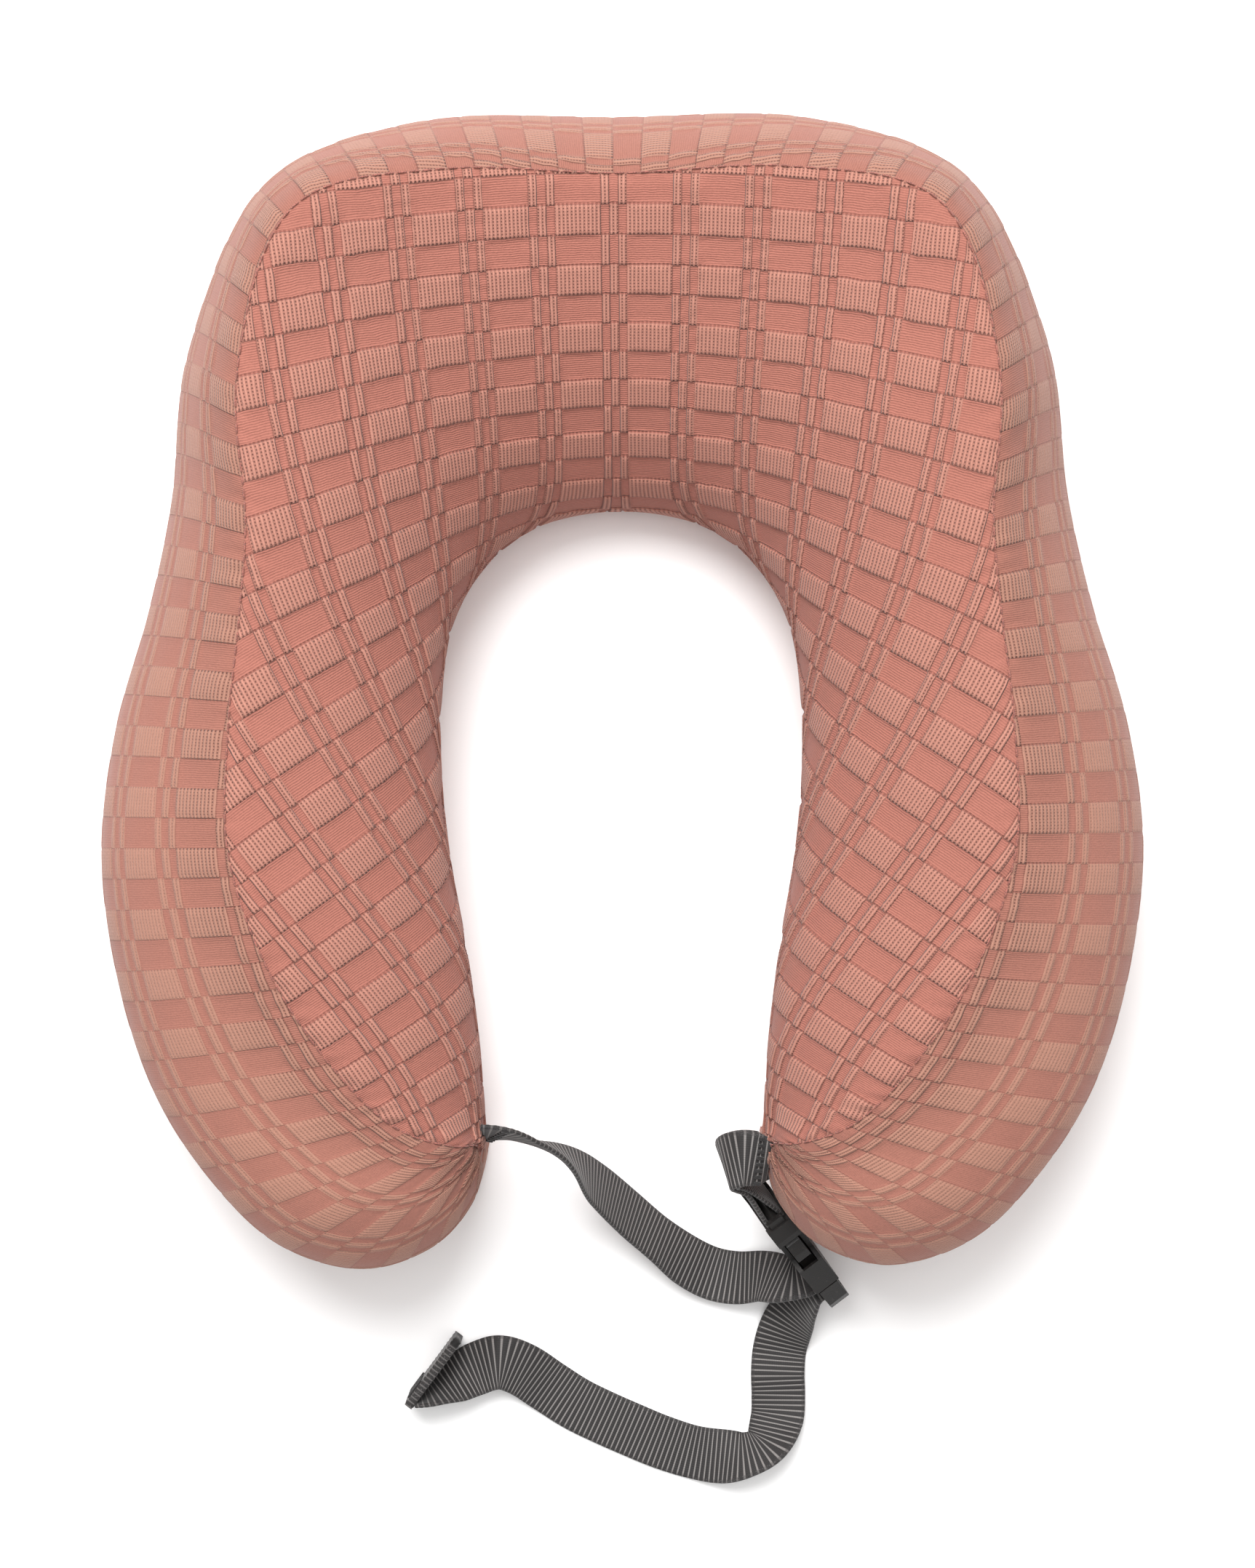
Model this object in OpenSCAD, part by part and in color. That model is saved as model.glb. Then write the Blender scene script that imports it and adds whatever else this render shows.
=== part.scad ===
// U-shaped neck pillow: memory-foam core in a liner, a sewn knit cover with a zipped base,
// and a webbing strap that closes with a side-release buckle.
// Origin: centre of the pillow's footprint, on the surface it rests on.
// +Y points to the back of the neck, +Z up, and the arms point along -Y. Millimetres.

/* [Pillow] */
// Width across the two arms
pillow_w = 276; // [272:1:280]
// Length from the arm tips to the back
pillow_l = 306; // [302:1:310]
// Height of the seam at the two back corners
pillow_h = 105; // [100:1:108]

/* [Fabric] */
// Thickness of the knit cover
cover_t = 1.3; // [1:0.1:1.4]
// Thickness of the inner liner
liner_t = 0.6; // [0.4:0.1:0.7]
// Gap between the cover, the liner and the foam
layer_gap = 0.3; // [0.3:0.05:0.4]
// Thickness of the sewing thread in the seams
thread_d = 0.5; // [0.4:0.05:0.6]

/* [Zipper] */
// Distance of the zipper behind the middle of the pillow
zip_y = 96; // [92:1:100]
// Length of the zipper's two rows of teeth
zip_len = 168; // [156:2:170]
// Width of the slot that the zipper fills in the base
zip_slot_w = 12; // [11:0.5:13]
// Pitch of the teeth
zip_pitch = 4; // [3:0.5:5]

/* [Strap] */
// Width of the webbing
webbing_w = 15; // [14:0.5:15.5]
// Thickness of the webbing
webbing_t = 1.3; // [1.1:0.1:1.4]

/* [Buckle] */
// Width of the buckle
buckle_w = 23; // [22:0.5:24]
// Thickness of the buckle's female half
buckle_t = 7.5; // [7:0.1:7.8]
// Thickness of the male half's base
male_t = 6; // [5.8:0.1:6.4]

/* [Hidden] */

knit_pink = [0.80, 0.58, 0.53];
knit_side = [0.79, 0.60, 0.54];
knit_base = [0.74, 0.53, 0.48];
liner_white = [0.93, 0.92, 0.90];
foam_cream = [0.95, 0.90, 0.72];
thread_pink = [0.62, 0.38, 0.34];
webbing_grey = [0.25, 0.24, 0.24];
thread_grey = [0.12, 0.12, 0.12];
plastic_black = [0.13, 0.125, 0.12];
zip_metal = [0.62, 0.48, 0.45];

// ---- Plan and height of one half, from the inner corner of an arm tip to the middle of the back.
// The 16 stations are vertical cuts from the inner edge to the outer edge. The first stations
// fan out round the tip's inner corner, where the strap is sewn in. The other half is a mirror image.
outer_edge = [
    [37.8, -122.5], [41, -136], [52, -147.8], [71, -153], [93, -145.5], [111, -127],
    [125, -104], [134, -75], [138, -42], [134, -9], [125, 22], [118.5, 52],
    [113.5, 92], [93, 135], [52, 151.5], [0, 152.4]
];
inner_edge = [
    [38, -120], [38, -119.4], [38, -118.6], [38, -117.4], [38.1, -114.5], [38.4, -106],
    [39.6, -90], [42.6, -67], [47, -41], [49, -15], [47.8, 9], [44, 24],
    [36, 37], [24.5, 46.2], [12, 50.4], [0, 51.5]
];
// Height of the widest line of the neck opening
inner_z = [30, 32, 35, 38, 42, 46, 48, 49, 49, 48, 45, 38, 28, 22, 19, 18];
// Height of the widest line of the outside
outer_z = [40, 42, 44, 46, 48, 50, 50, 50, 50, 50, 50, 50, 50, 50, 50, 50];
// The top seam: its share of the way from the inner edge to the outer edge, and its height
seam_share = [0.5, 0.06, 0.04, 0.05, 0.13, 0.3, 0.42, 0.525, 0.585, 0.6, 0.635, 0.68, 0.775, 0.84,
    0.81, 0.8];
seam_z = [54, 55, 57, 61, 68, 77, 85, 91, 94, 95.5, 97, 99, 103.5, 105, 95, 87];
// Slope of the top panel and of the side panel where they meet at the seam, rising outwards
top_slope = [60, 60, 55, 50, 45, 28, 14, 8, 5, 5, 8, 12, 16, 20, 22, 22];
side_slope = [40, 55, 50, 42, 30, 8, -8, -18, -25, -28, -30, -32, -35, -38, -35, -32];
// How far the base seam is set in from the inner and the outer edge
inner_foot = [0.5, 2, 4, 6, 8, 10, 12, 13, 14, 14, 13, 12, 9, 6, 4, 3.5];
outer_foot = [0.5, 4, 8, 12, 15, 17, 18, 19, 20, 20, 19, 18, 17, 17, 16, 15];

last_key = len(outer_edge) - 1;
plan_scale = [pillow_w / 276, pillow_l / 306];
high_scale = pillow_h / 105;

// ---- Levels and insets of the layers
base_t = 1.2;
rim_z = 0.3;
foot_angle = 55;
full_inset_w = 12;
liner_inset = cover_t + layer_gap;
foam_inset = liner_inset + liner_t + layer_gap;
liner_z = 3.7;
foam_z = liner_z + liner_t + layer_gap;
base_inset = 2.8;
seam_gap = 0.6;

// ---- Meshing: steps from the middle to a tip, and along each part of a cut. The liner, the foam, the
// base and the threads start a few stations in from the tips.
steps_half = 24;
steps_foot = 2;
steps_top = 7;
steps_side = 5;
last_station = 2 * steps_half;
seam_column = steps_foot + steps_top;
last_column = seam_column + steps_side + steps_foot;
thread_from = 5;
base_from_tip = 3;
filling_from = 3;

// ---- Small helpers
function unit(v) = v / norm(v);
function swing(angle) = [cos(angle), sin(angle)];
function wrap_key(i) = i > last_key ? 2 * last_key - i : max(i, 0);
// The value of a list of keys at a station, along a smooth curve through them
function curve4(a, b, c, d, t) =
    b + 0.5 * t * ((c - a) + t * ((2 * a - 5 * b + 4 * c - d) + t * (3 * (b - c) + d - a)));
function key_at(keys, s) =
    let (i = min(floor(s), last_key - 1))
    curve4(keys[wrap_key(i - 1)], keys[i], keys[i + 1], keys[wrap_key(i + 2)], s - i);
// Edges cross the middle line, so the key past the middle is the mirrored one
function mirrored_x(p) = [-p.x, p.y];
function edge_key(keys, i) = i > last_key ? mirrored_x(keys[2 * last_key - i]) : keys[max(i, 0)];
function edge_at(keys, s) =
    let (i = min(floor(s), last_key - 1))
    let (p = curve4(edge_key(keys, i - 1), keys[i], keys[i + 1], edge_key(keys, i + 2), s - i))
    [p.x * plan_scale.x, p.y * plan_scale.y];

// Cubic Bezier curve and its direction
function bezier(c, t) =
    c[0] * pow(1 - t, 3) + 3 * c[1] * t * pow(1 - t, 2) + 3 * c[2] * t * t * (1 - t) + c[3] * pow(t, 3);
function bezier_dir(c, t) =
    (c[1] - c[0]) * pow(1 - t, 2) + 2 * (c[2] - c[1]) * t * (1 - t) + (c[3] - c[2]) * t * t;

// ---- One vertical cut at station s, as four curves in [distance from the inner edge, height]
function cut_width(s) = norm(edge_at(outer_edge, s) - edge_at(inner_edge, s));
function cut_corners(s) =
    let (w = cut_width(s))
    [
        [key_at(inner_foot, s), rim_z],
        [0, key_at(inner_z, s)],
        [key_at(seam_share, s) * w, key_at(seam_z, s) * high_scale],
        [w, key_at(outer_z, s)],
        [w - key_at(outer_foot, s), rim_z]
    ];
function inner_foot_curve(s) =
    let (c = cut_corners(s), reach = 0.5 * key_at(inner_foot, s))
    [c[0], c[0] + reach * [-swing(foot_angle).x, swing(foot_angle).y], c[1] - [0, 0.5 * c[1].y], c[1]];
function top_curve(s) =
    let (c = cut_corners(s), reach = 0.45 * c[2].x)
    [c[1], c[1] + [0, 0.45 * (c[2].y - c[1].y)], c[2] - reach * swing(key_at(top_slope, s)), c[2]];
function side_curve(s) =
    let (c = cut_corners(s), span = c[3].x - c[2].x, drop = c[2].y - c[3].y)
    [c[2], c[2] + 0.5 * span * swing(key_at(side_slope, s)), c[3] + [0, 0.35 * span + 0.25 * drop], c[3]];
function outer_foot_curve(s) =
    let (c = cut_corners(s), reach = 0.5 * key_at(outer_foot, s))
    [c[3], c[3] - [0, 0.5 * c[3].y], c[4] + reach * swing(foot_angle), c[4]];

// Moves a point of the cut at station s into space. Stations past the middle are mirrored.
function fold_back(s) = s > last_key ? 2 * last_key - s : s;
function in_space(s, p) =
    let (m = fold_back(s), a = edge_at(inner_edge, m), b = edge_at(outer_edge, m))
    let (q = a + unit(b - a) * p.x)
    [s > last_key ? -q.x : q.x, q.y, p.y];

// Stations from one tip to the other, closer together round the tips
stations = [for (i = [-steps_half : steps_half])
    let (u = abs(i) / steps_half, s = last_key * (1 - 0.85 * u - 0.15 * u * u))
    i < 0 ? 2 * last_key - s : s];
corners_at = [for (s = stations) cut_corners(fold_back(s))];

// ---- The pillow's outer surface, as a grid of points, and the same grid moved inwards
function curve_points(c, steps, first, last) = [for (k = [first : last]) bezier(c, k / steps)];
function surface_row(s) =
    let (m = fold_back(s))
    [for (p = concat(
        curve_points(inner_foot_curve(m), steps_foot, 0, steps_foot - 1),
        curve_points(top_curve(m), steps_top, 0, steps_top - 1),
        curve_points(side_curve(m), steps_side, 0, steps_side),
        curve_points(outer_foot_curve(m), steps_foot, 1, steps_foot))) in_space(s, p)];
surface = [for (s = stations) surface_row(s)];
face_normals = [for (i = [0 : last_station - 1])
    [for (j = [0 : last_column - 1])
        unit(cross(surface[i + 1][j + 1] - surface[i][j], surface[i + 1][j] - surface[i][j + 1]))]];
function average(list) = list * [for (v = list) 1] / len(list);
// The step that moves a grid point 1 mm inwards from every face round it
function inward_step(i, j) =
    let (around = [for (p = [max(i - 1, 0) : min(i, last_station - 1)],
        q = [max(j - 1, 0) : min(j, last_column - 1)]) face_normals[p][q]])
    let (mean = [for (axis = [0 : 2]) average([for (n = around) n[axis]])])
    mean / max(0.6, mean * mean);
inward = [for (i = [0 : last_station]) [for (j = [0 : last_column]) inward_step(i, j)]];

// Layers are thinner where a cut is too narrow for their full thickness
function depth_at(i, depth) = depth * min(1, cut_width(fold_back(stations[i])) / full_inset_w);
// The lowest part of an inner layer is lifted clear of the base
lift_below = 30;
function lifted(p, floor_z) =
    let (rise = (p.z - rim_z) / (lift_below - rim_z))
    p.z > lift_below ? p : [p.x, p.y, floor_z + rise * (lift_below - floor_z)];
function layer(depth, floor_z) =
    [for (i = [filling_from : last_station - filling_from])
        [for (j = [0 : last_column]) lifted(surface[i][j] + inward[i][j] * depth_at(i, depth), floor_z)]];

// The two panels stop a little short of the seam between them
function gap_share(c, seam_end) = min(0.04, seam_gap / (3 * norm(seam_end - c) + 0.01));
function top_edge(s) =
    let (c = top_curve(fold_back(s)))
    in_space(s, bezier(c, 1 - gap_share(c[2], c[3])));
function side_edge(s) =
    let (c = side_curve(fold_back(s)))
    in_space(s, bezier(c, gap_share(c[1], c[0])));
function top_panel(depth) =
    [for (i = [0 : last_station])
        let (d = depth_at(i, depth))
        [for (j = [0 : seam_column])
            (j < seam_column ? surface[i][j] : top_edge(stations[i])) + inward[i][j] * d]];
function side_panel(depth) =
    [for (i = [0 : last_station])
        let (d = depth_at(i, depth))
        [for (j = [seam_column : last_column])
            (j > seam_column ? surface[i][j] : side_edge(stations[i])) + inward[i][j] * d]];

// ---- Solids from grids of points
function flat(rows) = [for (row = rows) each row];
function quad(a, b, c, d) = [[a, b, c], [a, c, d]];
// A closed skin between an outer and an inner grid of the same size
module skin(outer, inner) {
    n = len(outer);
    m = len(outer[0]);
    half = n * m;
    function o(i, j) = i * m + j;
    function k(i, j) = half + i * m + j;
    faces = flat(concat(
        [for (i = [0 : n - 2], j = [0 : m - 2]) quad(o(i, j), o(i, j + 1), o(i + 1, j + 1), o(i + 1, j))],
        [for (i = [0 : n - 2], j = [0 : m - 2]) quad(k(i, j), k(i + 1, j), k(i + 1, j + 1), k(i, j + 1))],
        [for (i = [0 : n - 2]) quad(o(i, 0), o(i + 1, 0), k(i + 1, 0), k(i, 0))],
        [for (i = [0 : n - 2]) quad(o(i, m - 1), k(i, m - 1), k(i + 1, m - 1), o(i + 1, m - 1))],
        [for (j = [0 : m - 2]) quad(o(0, j), k(0, j), k(0, j + 1), o(0, j + 1))],
        [for (j = [0 : m - 2]) quad(o(n - 1, j), o(n - 1, j + 1), k(n - 1, j + 1), k(n - 1, j))]
    ));
    polyhedron(points = concat(flat(outer), flat(inner)), faces = faces, convexity = 8);
}
// A solid swept through closed rings, with flat ends
module sweep_rings(rings) {
    n = len(rings);
    m = len(rings[0]);
    faces = concat(
        flat([for (i = [0 : n - 2], j = [0 : m - 1])
            quad(i * m + j, i * m + (j + 1) % m, (i + 1) * m + (j + 1) % m, (i + 1) * m + j)]),
        [[for (j = [m - 1 : -1 : 0]) j]],
        [[for (j = [0 : m - 1]) (n - 1) * m + j]]
    );
    polyhedron(points = flat(rings), faces = faces, convexity = 8);
}

// ---- Foam, liner and cover
module foam_core() {
    color(foam_cream)
        sweep_rings(layer(foam_inset, foam_z));
}
module foam_liner() {
    color(liner_white)
        skin(layer(liner_inset, liner_z), layer(liner_inset + liner_t, liner_z));
}
module foam_liner_base() {
    color(liner_white)
        translate([0, 0, liner_z])
            linear_extrude(liner_t)
                base_outline(base_inset + 3.5, filling_from);
}
module cover_top() {
    color(knit_pink)
        skin(top_panel(0), top_panel(cover_t));
}
module cover_side() {
    color(knit_side)
        skin(side_panel(0), side_panel(cover_t));
}
// The flat shape of the base, set in from the base seam
module base_outline(inset, from) {
    rim = [from : last_station - from];
    outside = [for (i = rim) in_space(stations[i], corners_at[i][4] - [inset, 0])];
    back = [for (i = rim) last_station - i];
    inside = [for (i = back) in_space(stations[i], corners_at[i][0] + [inset, 0])];
    polygon([for (p = concat(outside, inside)) [p.x, p.y]]);
}
module base_panel(y_from, y_to) {
    color(knit_base)
        linear_extrude(base_t)
            intersection() {
                base_outline(base_inset, base_from_tip);
                translate([-pillow_w, y_from])
                    square([2 * pillow_w, y_to - y_from]);
            }
}
module cover_base_front() {
    base_panel(-pillow_l, zip_y - zip_slot_w / 2);
}
module cover_base_rear() {
    base_panel(zip_y + zip_slot_w / 2, pillow_l);
}

// ---- Seam thread: a thin square cord, laid through points
function thread_ring(a, b, p, d) =
    let (t = unit(b - a), side = unit(cross(t, [0, 0, 1])), up = cross(side, t))
    [p - side * d / 2, p - up * d / 2, p + side * d / 2, p + up * d / 2];
module thread(points) {
    n = len(points);
    sweep_rings([for (i = [0 : n - 1])
        thread_ring(points[max(i - 1, 0)], points[min(i + 1, n - 1)], points[i], thread_d)]);
}
module top_seam_thread() {
    depth = 0.65;
    color(thread_pink)
        thread([for (i = [thread_from : last_station - thread_from])
            surface[i][seam_column] + inward[i][seam_column] * depth]);
}
module base_seam_thread() {
    set_in = 1.9;
    height = 0.6;
    color(thread_pink)
        thread([for (i = [thread_from : last_station - thread_from])
            in_space(stations[i], corners_at[i][4] + [-set_in, height - rim_z])]);
}

// ---- Zipper in the base, seen from below. The slider closes towards +X.
zip_end = zip_len / 2;
tape_z = 1.5;
tape_t = 0.5;
tape_w = 11;
tape_gap = 1.5;
teeth_z = 1.1;
teeth_t = 1.3;
rail_w = 0.6;
tooth_l = 0.4;
post_w = 0.5;
module zip_tape(side) {
    color(knit_base)
        translate([-zip_end - 4, side > 0 ? zip_y + tape_gap : zip_y - tape_gap - tape_w, tape_z])
            cube([zip_len + 8, tape_w, tape_t]);
}
module zip_tape_front() {
    zip_tape(-1);
}
module zip_tape_rear() {
    zip_tape(1);
}
// One row of teeth, as a comb. The teeth end just short of the middle, where the slider's post runs.
module zip_teeth(side) {
    count = floor(zip_len / zip_pitch);
    shift = side > 0 ? zip_pitch / 2 : 0;
    outline = concat(
        [for (i = [0 : count - 1]) each [
            [i * zip_pitch + shift, -rail_w / 2],
            [i * zip_pitch + shift, -rail_w / 2 - tooth_l],
            [i * zip_pitch + shift + 1.4, -rail_w / 2 - tooth_l],
            [i * zip_pitch + shift + 1.4, -rail_w / 2]
        ]],
        [[zip_len, -rail_w / 2], [zip_len, rail_w / 2], [0, rail_w / 2]],
        side > 0 ? [[0, -rail_w / 2]] : []
    );
    color(zip_metal)
        translate([-zip_end, zip_y + side * (tape_gap - rail_w / 2 - 0.1), teeth_z])
            linear_extrude(teeth_t)
                scale([1, side])
                    polygon(outline);
}
module zip_teeth_front() {
    zip_teeth(-1);
}
module zip_teeth_rear() {
    zip_teeth(1);
}
module zip_stops() {
    stop_l = 2.5;
    stop_w = 2.8;
    color(zip_metal)
        for (x = [-zip_end - stop_l - 0.3, zip_end + 0.3])
            translate([x, zip_y - stop_w / 2, teeth_z])
                cube([stop_l, stop_w, 1.6]);
}
slider_l = 11;
slider_w = 7.4;
slider_x = zip_end - slider_l - 1;
plate_t = 0.7;
under_plate_z = 0.15;
upper_plate_z = 2.6;
module zip_slider() {
    color(zip_metal) {
        for (z = [under_plate_z, upper_plate_z])
            translate([slider_x, zip_y - slider_w / 2, z])
                linear_extrude(plate_t)
                    polygon([[0, 1.4], [1.6, 0], [slider_l - 1.6, 0.6], [slider_l, 1.6],
                        [slider_l, slider_w - 1.6], [slider_l - 1.6, slider_w - 0.6],
                        [1.6, slider_w], [0, slider_w - 1.4]]);
        for (side = [-1, 1])
            translate([slider_x + 3, zip_y + side * (slider_w / 2 - 0.6) - 0.35, under_plate_z + plate_t])
                cube([slider_l - 6, 0.7, tape_z - under_plate_z - plate_t - 0.1]);
        translate([slider_x + slider_l - 3, zip_y - post_w / 2, under_plate_z])
            cube([2, post_w, upper_plate_z + plate_t - under_plate_z]);
        translate([slider_x - 1.2, zip_y - 2, under_plate_z])
            cube([2.4, 4, plate_t]);
    }
}
module zip_pull() {
    pull_l = 16;
    pull_w = 5.4;
    pull_t = 0.8;
    neck_w = 3;
    color(zip_metal)
        translate([slider_x - 1.5 - pull_l, zip_y, under_plate_z])
            linear_extrude(pull_t)
                difference() {
                    polygon([
                        [0, -1.4], [1.4, -pull_w / 2],
                        [pull_l - 5, -pull_w / 2], [pull_l - 3, -neck_w / 2], [pull_l, -neck_w / 2],
                        [pull_l, neck_w / 2], [pull_l - 3, neck_w / 2], [pull_l - 5, pull_w / 2],
                        [1.4, pull_w / 2], [0, 1.4],
                    ]);
                    translate([4.5, 0])
                        circle(d = 2.4, $fn = 32);
                }
}

// ---- Buckle. Its own frame: +X from the female half's bar to the male half's end, +Y across its
// width and +Z through its thickness. It hangs from its loop with one side edge up.
buckle_at = [36.6, -137.3, 33];
buckle_pitch = 36;
buckle_yaw = 53.13;
buckle_turn = [90, buckle_pitch, -buckle_yaw];
buckle_x = [cos(buckle_pitch) * cos(buckle_yaw), -cos(buckle_pitch) * sin(buckle_yaw), -sin(buckle_pitch)];
buckle_y = [sin(buckle_pitch) * cos(buckle_yaw), -sin(buckle_pitch) * sin(buckle_yaw), cos(buckle_pitch)];
buckle_z = [-sin(buckle_yaw), -cos(buckle_yaw), 0];
function on_buckle(p) = buckle_at + buckle_x * p.x + buckle_y * p.y + buckle_z * p.z;

bar_r = 1.5;
mouth_from = 20;
mouth_to = 30;
mouth_wide = buckle_w / 2 - 0.9;
mouth_narrow = buckle_w / 2 - 2.9;
wall_t = 1.25;
cavity_t = buckle_t - 2 * wall_t;
slot_w = webbing_w + 1.2;
hinge_x = 28.9;
hinge_y = 7;

// Both halves of an outline that is the same on each side of its middle line
function both_sides(points) =
    concat(points, [for (k = [len(points) - 1 : -1 : 0]) [points[k].x, -points[k].y]]);

module buckle_female() {
    half = buckle_w / 2;
    window_half = half - 3.9;
    color(plastic_black)
        translate(buckle_at)
            rotate(buckle_turn) {
                difference() {
                    linear_extrude(buckle_t, center = true)
                        polygon(both_sides([
                            [2.6, half - 1.2], [6.5, half], [8.2, half], [9.8, window_half],
                            [18, window_half], [19.6, half], [mouth_to, half]
                        ]));
                    linear_extrude(cavity_t, center = true)
                        polygon(both_sides([
                            [8.4, half + 1], [mouth_from, half + 1], [mouth_from, mouth_wide],
                            [mouth_to + 0.01, mouth_narrow]
                        ]));
                    translate([4.3, 0, 0])
                        cube([3.6, slot_w, buckle_t + 1], center = true);
                }
                difference() {
                    translate([bar_r, 0, 0])
                        rotate([90, 0, 0])
                            cylinder(r = bar_r, h = slot_w + 2.2, center = true, $fn = 32);
                    translate([6.6, 0, 0])
                        cube([8, slot_w + 4, 2 * bar_r + 1], center = true);
                }
                for (side = [-1, 1])
                    translate([1.5, side * (slot_w / 2 + 0.9), 0])
                        cube([2.4, 1.6, 2 * bar_r + 1.4], center = true);
            }
}

base_from = 30.3;
base_to = 39.5;
ladder_1 = 32.9;
ladder_2 = 37.1;
ladder_slot = 2.2;
module buckle_male() {
    half = buckle_w / 2;
    color(plastic_black)
        translate(buckle_at)
            rotate(buckle_turn) {
                difference() {
                    linear_extrude(male_t, center = true)
                        polygon(both_sides([
                            [base_from, half], [base_to - 3, half - 0.3], [base_to - 0.8, half - 1.4],
                            [base_to, half - 2.6]
                        ]));
                    for (x = [ladder_1, ladder_2])
                        translate([x, 0, 0])
                            cube([ladder_slot, slot_w, male_t + 1], center = true);
                    translate([(ladder_1 + ladder_2) / 2, 0, -male_t / 2])
                        cube([3, slot_w, 3], center = true);
                }
                // The guide tongue, which runs down the middle of the female half
                linear_extrude(3.2, center = true)
                    polygon(both_sides([
                        [10.5, 1.2], [12, 2.2], [26.5, 2.4], [28.2, 4.6], [base_from, 5]
                    ]));
            }
}
// One springy arm of the male half: a thin neck from its root, and a head with the catch
module latch_arm(side) {
    head = buckle_w / 2 - 0.1;
    color(plastic_black)
        translate(buckle_at)
            rotate(buckle_turn)
                linear_extrude(4.2, center = true)
                    scale([1, side]) {
                        translate([hinge_x, hinge_y])
                            circle(r = 1.1, $fn = 32);
                        polygon([
                            [hinge_x, hinge_y + 1.1], [19.6, 8.4], [16.6, 9.4], [16.4, head],
                            [14, head], [10.6, head - 1.2], [9.2, 8.6], [9.4, 7.4],
                            [12, 6.9], [19, 6.9], [hinge_x, hinge_y - 1.1]
                        ]);
                    }
}
module latch_arm_upper() {
    latch_arm(1);
}
module latch_arm_lower() {
    latch_arm(-1);
}

// ---- Webbing. A route holds points with the direction of the webbing's first edge:
// [x, y, z, edge x, edge y, edge z].
// From the left arm's corner down to the floor and across to the buckle
route_to_buckle = [
    [-38.9, -117, 47.2, 0, 0.3, 0.95],
    [-34, -117.6, 46.6, 0.1, 0.3, 0.95],
    [-27, -119.8, 42.5, 0.1, 0.15, 0.97],
    [-18, -124.6, 34.5, 0, 0, 1],
    [-8, -134, 21.5, -0.35, -0.35, 0.85],
    [2, -144.2, 12, -0.45, -0.5, 0.74],
    [10, -151.6, 7.8, -0.42, -0.6, 0.68],
    [17, -157.4, 4.8, -0.4, -0.8, 0.45],
    [24, -161.2, 3, -0.2, -0.93, 0.3],
    [31, -162.3, 4.6, 0, -0.93, 0.35],
    [38, -161.4, 8.4, 0.12, -0.8, 0.6],
    [44.4, -161.9, 13, 0.25, -0.6, 0.76]
];
// Round the male half's middle bar, in the buckle's frame
route_in_buckle = [
    [32.9, 0, 4.5], [32.9, 0, 1.5], [32.95, 0, -0.9], [33.6, 0, -2.2], [35, 0, -2.5],
    [36.4, 0, -2.2], [37.05, 0, -0.9], [37.1, 0, 1.5], [37.1, 0, 4.5]
];
// The free tail, laid on the floor in an open bend
route_tail = [
    [49.2, -167.3, 9.6, 0.5, -0.4, 0.77],
    [47, -171.5, 6.6, 0.7, -0.25, 0.6],
    [44.5, -176.8, 3.4, 0.92, -0.1, 0.3],
    [42.8, -183, 1.1, 1, 0, 0],
    [42.2, -189.2, 2.4, 1, 0, 0],
    [42.3, -195.5, 2.2, 1, -0.05, 0.05],
    [41.8, -202, 3.2, 0.9, -0.2, 0.25],
    [38.8, -208.4, 6.2, 0.55, -0.4, 0.7],
    [32.5, -211.6, 6.2, 0.25, -0.65, 0.7],
    [25, -212.2, 3.2, 0.1, -0.95, 0.25],
    [17.5, -211.2, 1, 0, -1, 0],
    [9, -208.4, 0.8, -0.3, -0.95, 0],
    [1, -205, 0.8, -0.4, -0.92, 0],
    [-7, -201.4, 0.8, -0.45, -0.9, 0],
    [-14.5, -197.6, 0.8, -0.5, -0.86, 0],
    [-22, -192.6, 1.6, -0.5, -0.85, 0],
    [-29, -187.4, 5, -0.45, -0.88, 0.05],
    [-35.5, -185, 7, -0.2, -0.95, 0.1],
    [-42, -187, 5.4, 0.2, -0.9, 0.3],
    [-48, -190.2, 6, 0.25, -0.7, 0.65],
    [-54, -193.6, 7.4, 0.1, -0.3, 0.95],
    [-59.2, -195.8, 7.9, 0, 0, 1]
];
stitch_t = 0.5;
stitch_sunk = 0.1;
// The folded and stitched end, standing on its edge
route_hem = [
    [-60.4, -195.8, 7.9, 0, 0, 1],
    [-53.6, -186.8, 7.9, 0, 0, 1],
    [-46.8, -177.8, 7.9, 0, 0, 1]
];
strap_route = concat(
    route_to_buckle,
    [for (p = route_in_buckle) concat(on_buckle(p), buckle_y)],
    route_tail
);

function row_point(row) = [row[0], row[1], row[2]];
function row_edge(row) = [row[3], row[4], row[5]];
// Route rows with one more row halfway between each pair, on a smooth curve
function refined(rows) =
    let (n = len(rows))
    [for (i = [0 : n - 1]) each i == n - 1 ? [rows[i]] : [
        rows[i],
        curve4(rows[max(i - 1, 0)], rows[i], rows[i + 1], rows[min(i + 2, n - 1)], 0.5)
    ]];
function ribbon_ring(rows, i, thick) =
    let (n = len(rows), p = row_point(rows[i]))
    let (t = unit(row_point(rows[min(i + 1, n - 1)]) - row_point(rows[max(i - 1, 0)])))
    let (e = row_edge(rows[i]), w = unit(e - t * (e * t)), up = cross(t, w))
    [
        p - w * webbing_w / 2 - up * thick / 2,
        p - w * webbing_w / 2 + up * thick / 2,
        p + w * webbing_w / 2 + up * thick / 2,
        p + w * webbing_w / 2 - up * thick / 2
    ];
module ribbon(rows, thick) {
    sweep_rings([for (i = [0 : len(rows) - 1]) ribbon_ring(rows, i, thick)]);
}
module strap_webbing() {
    color(webbing_grey) {
        ribbon(refined(strap_route), webbing_t);
        ribbon(route_hem, 2 * webbing_t);
    }
}
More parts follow.
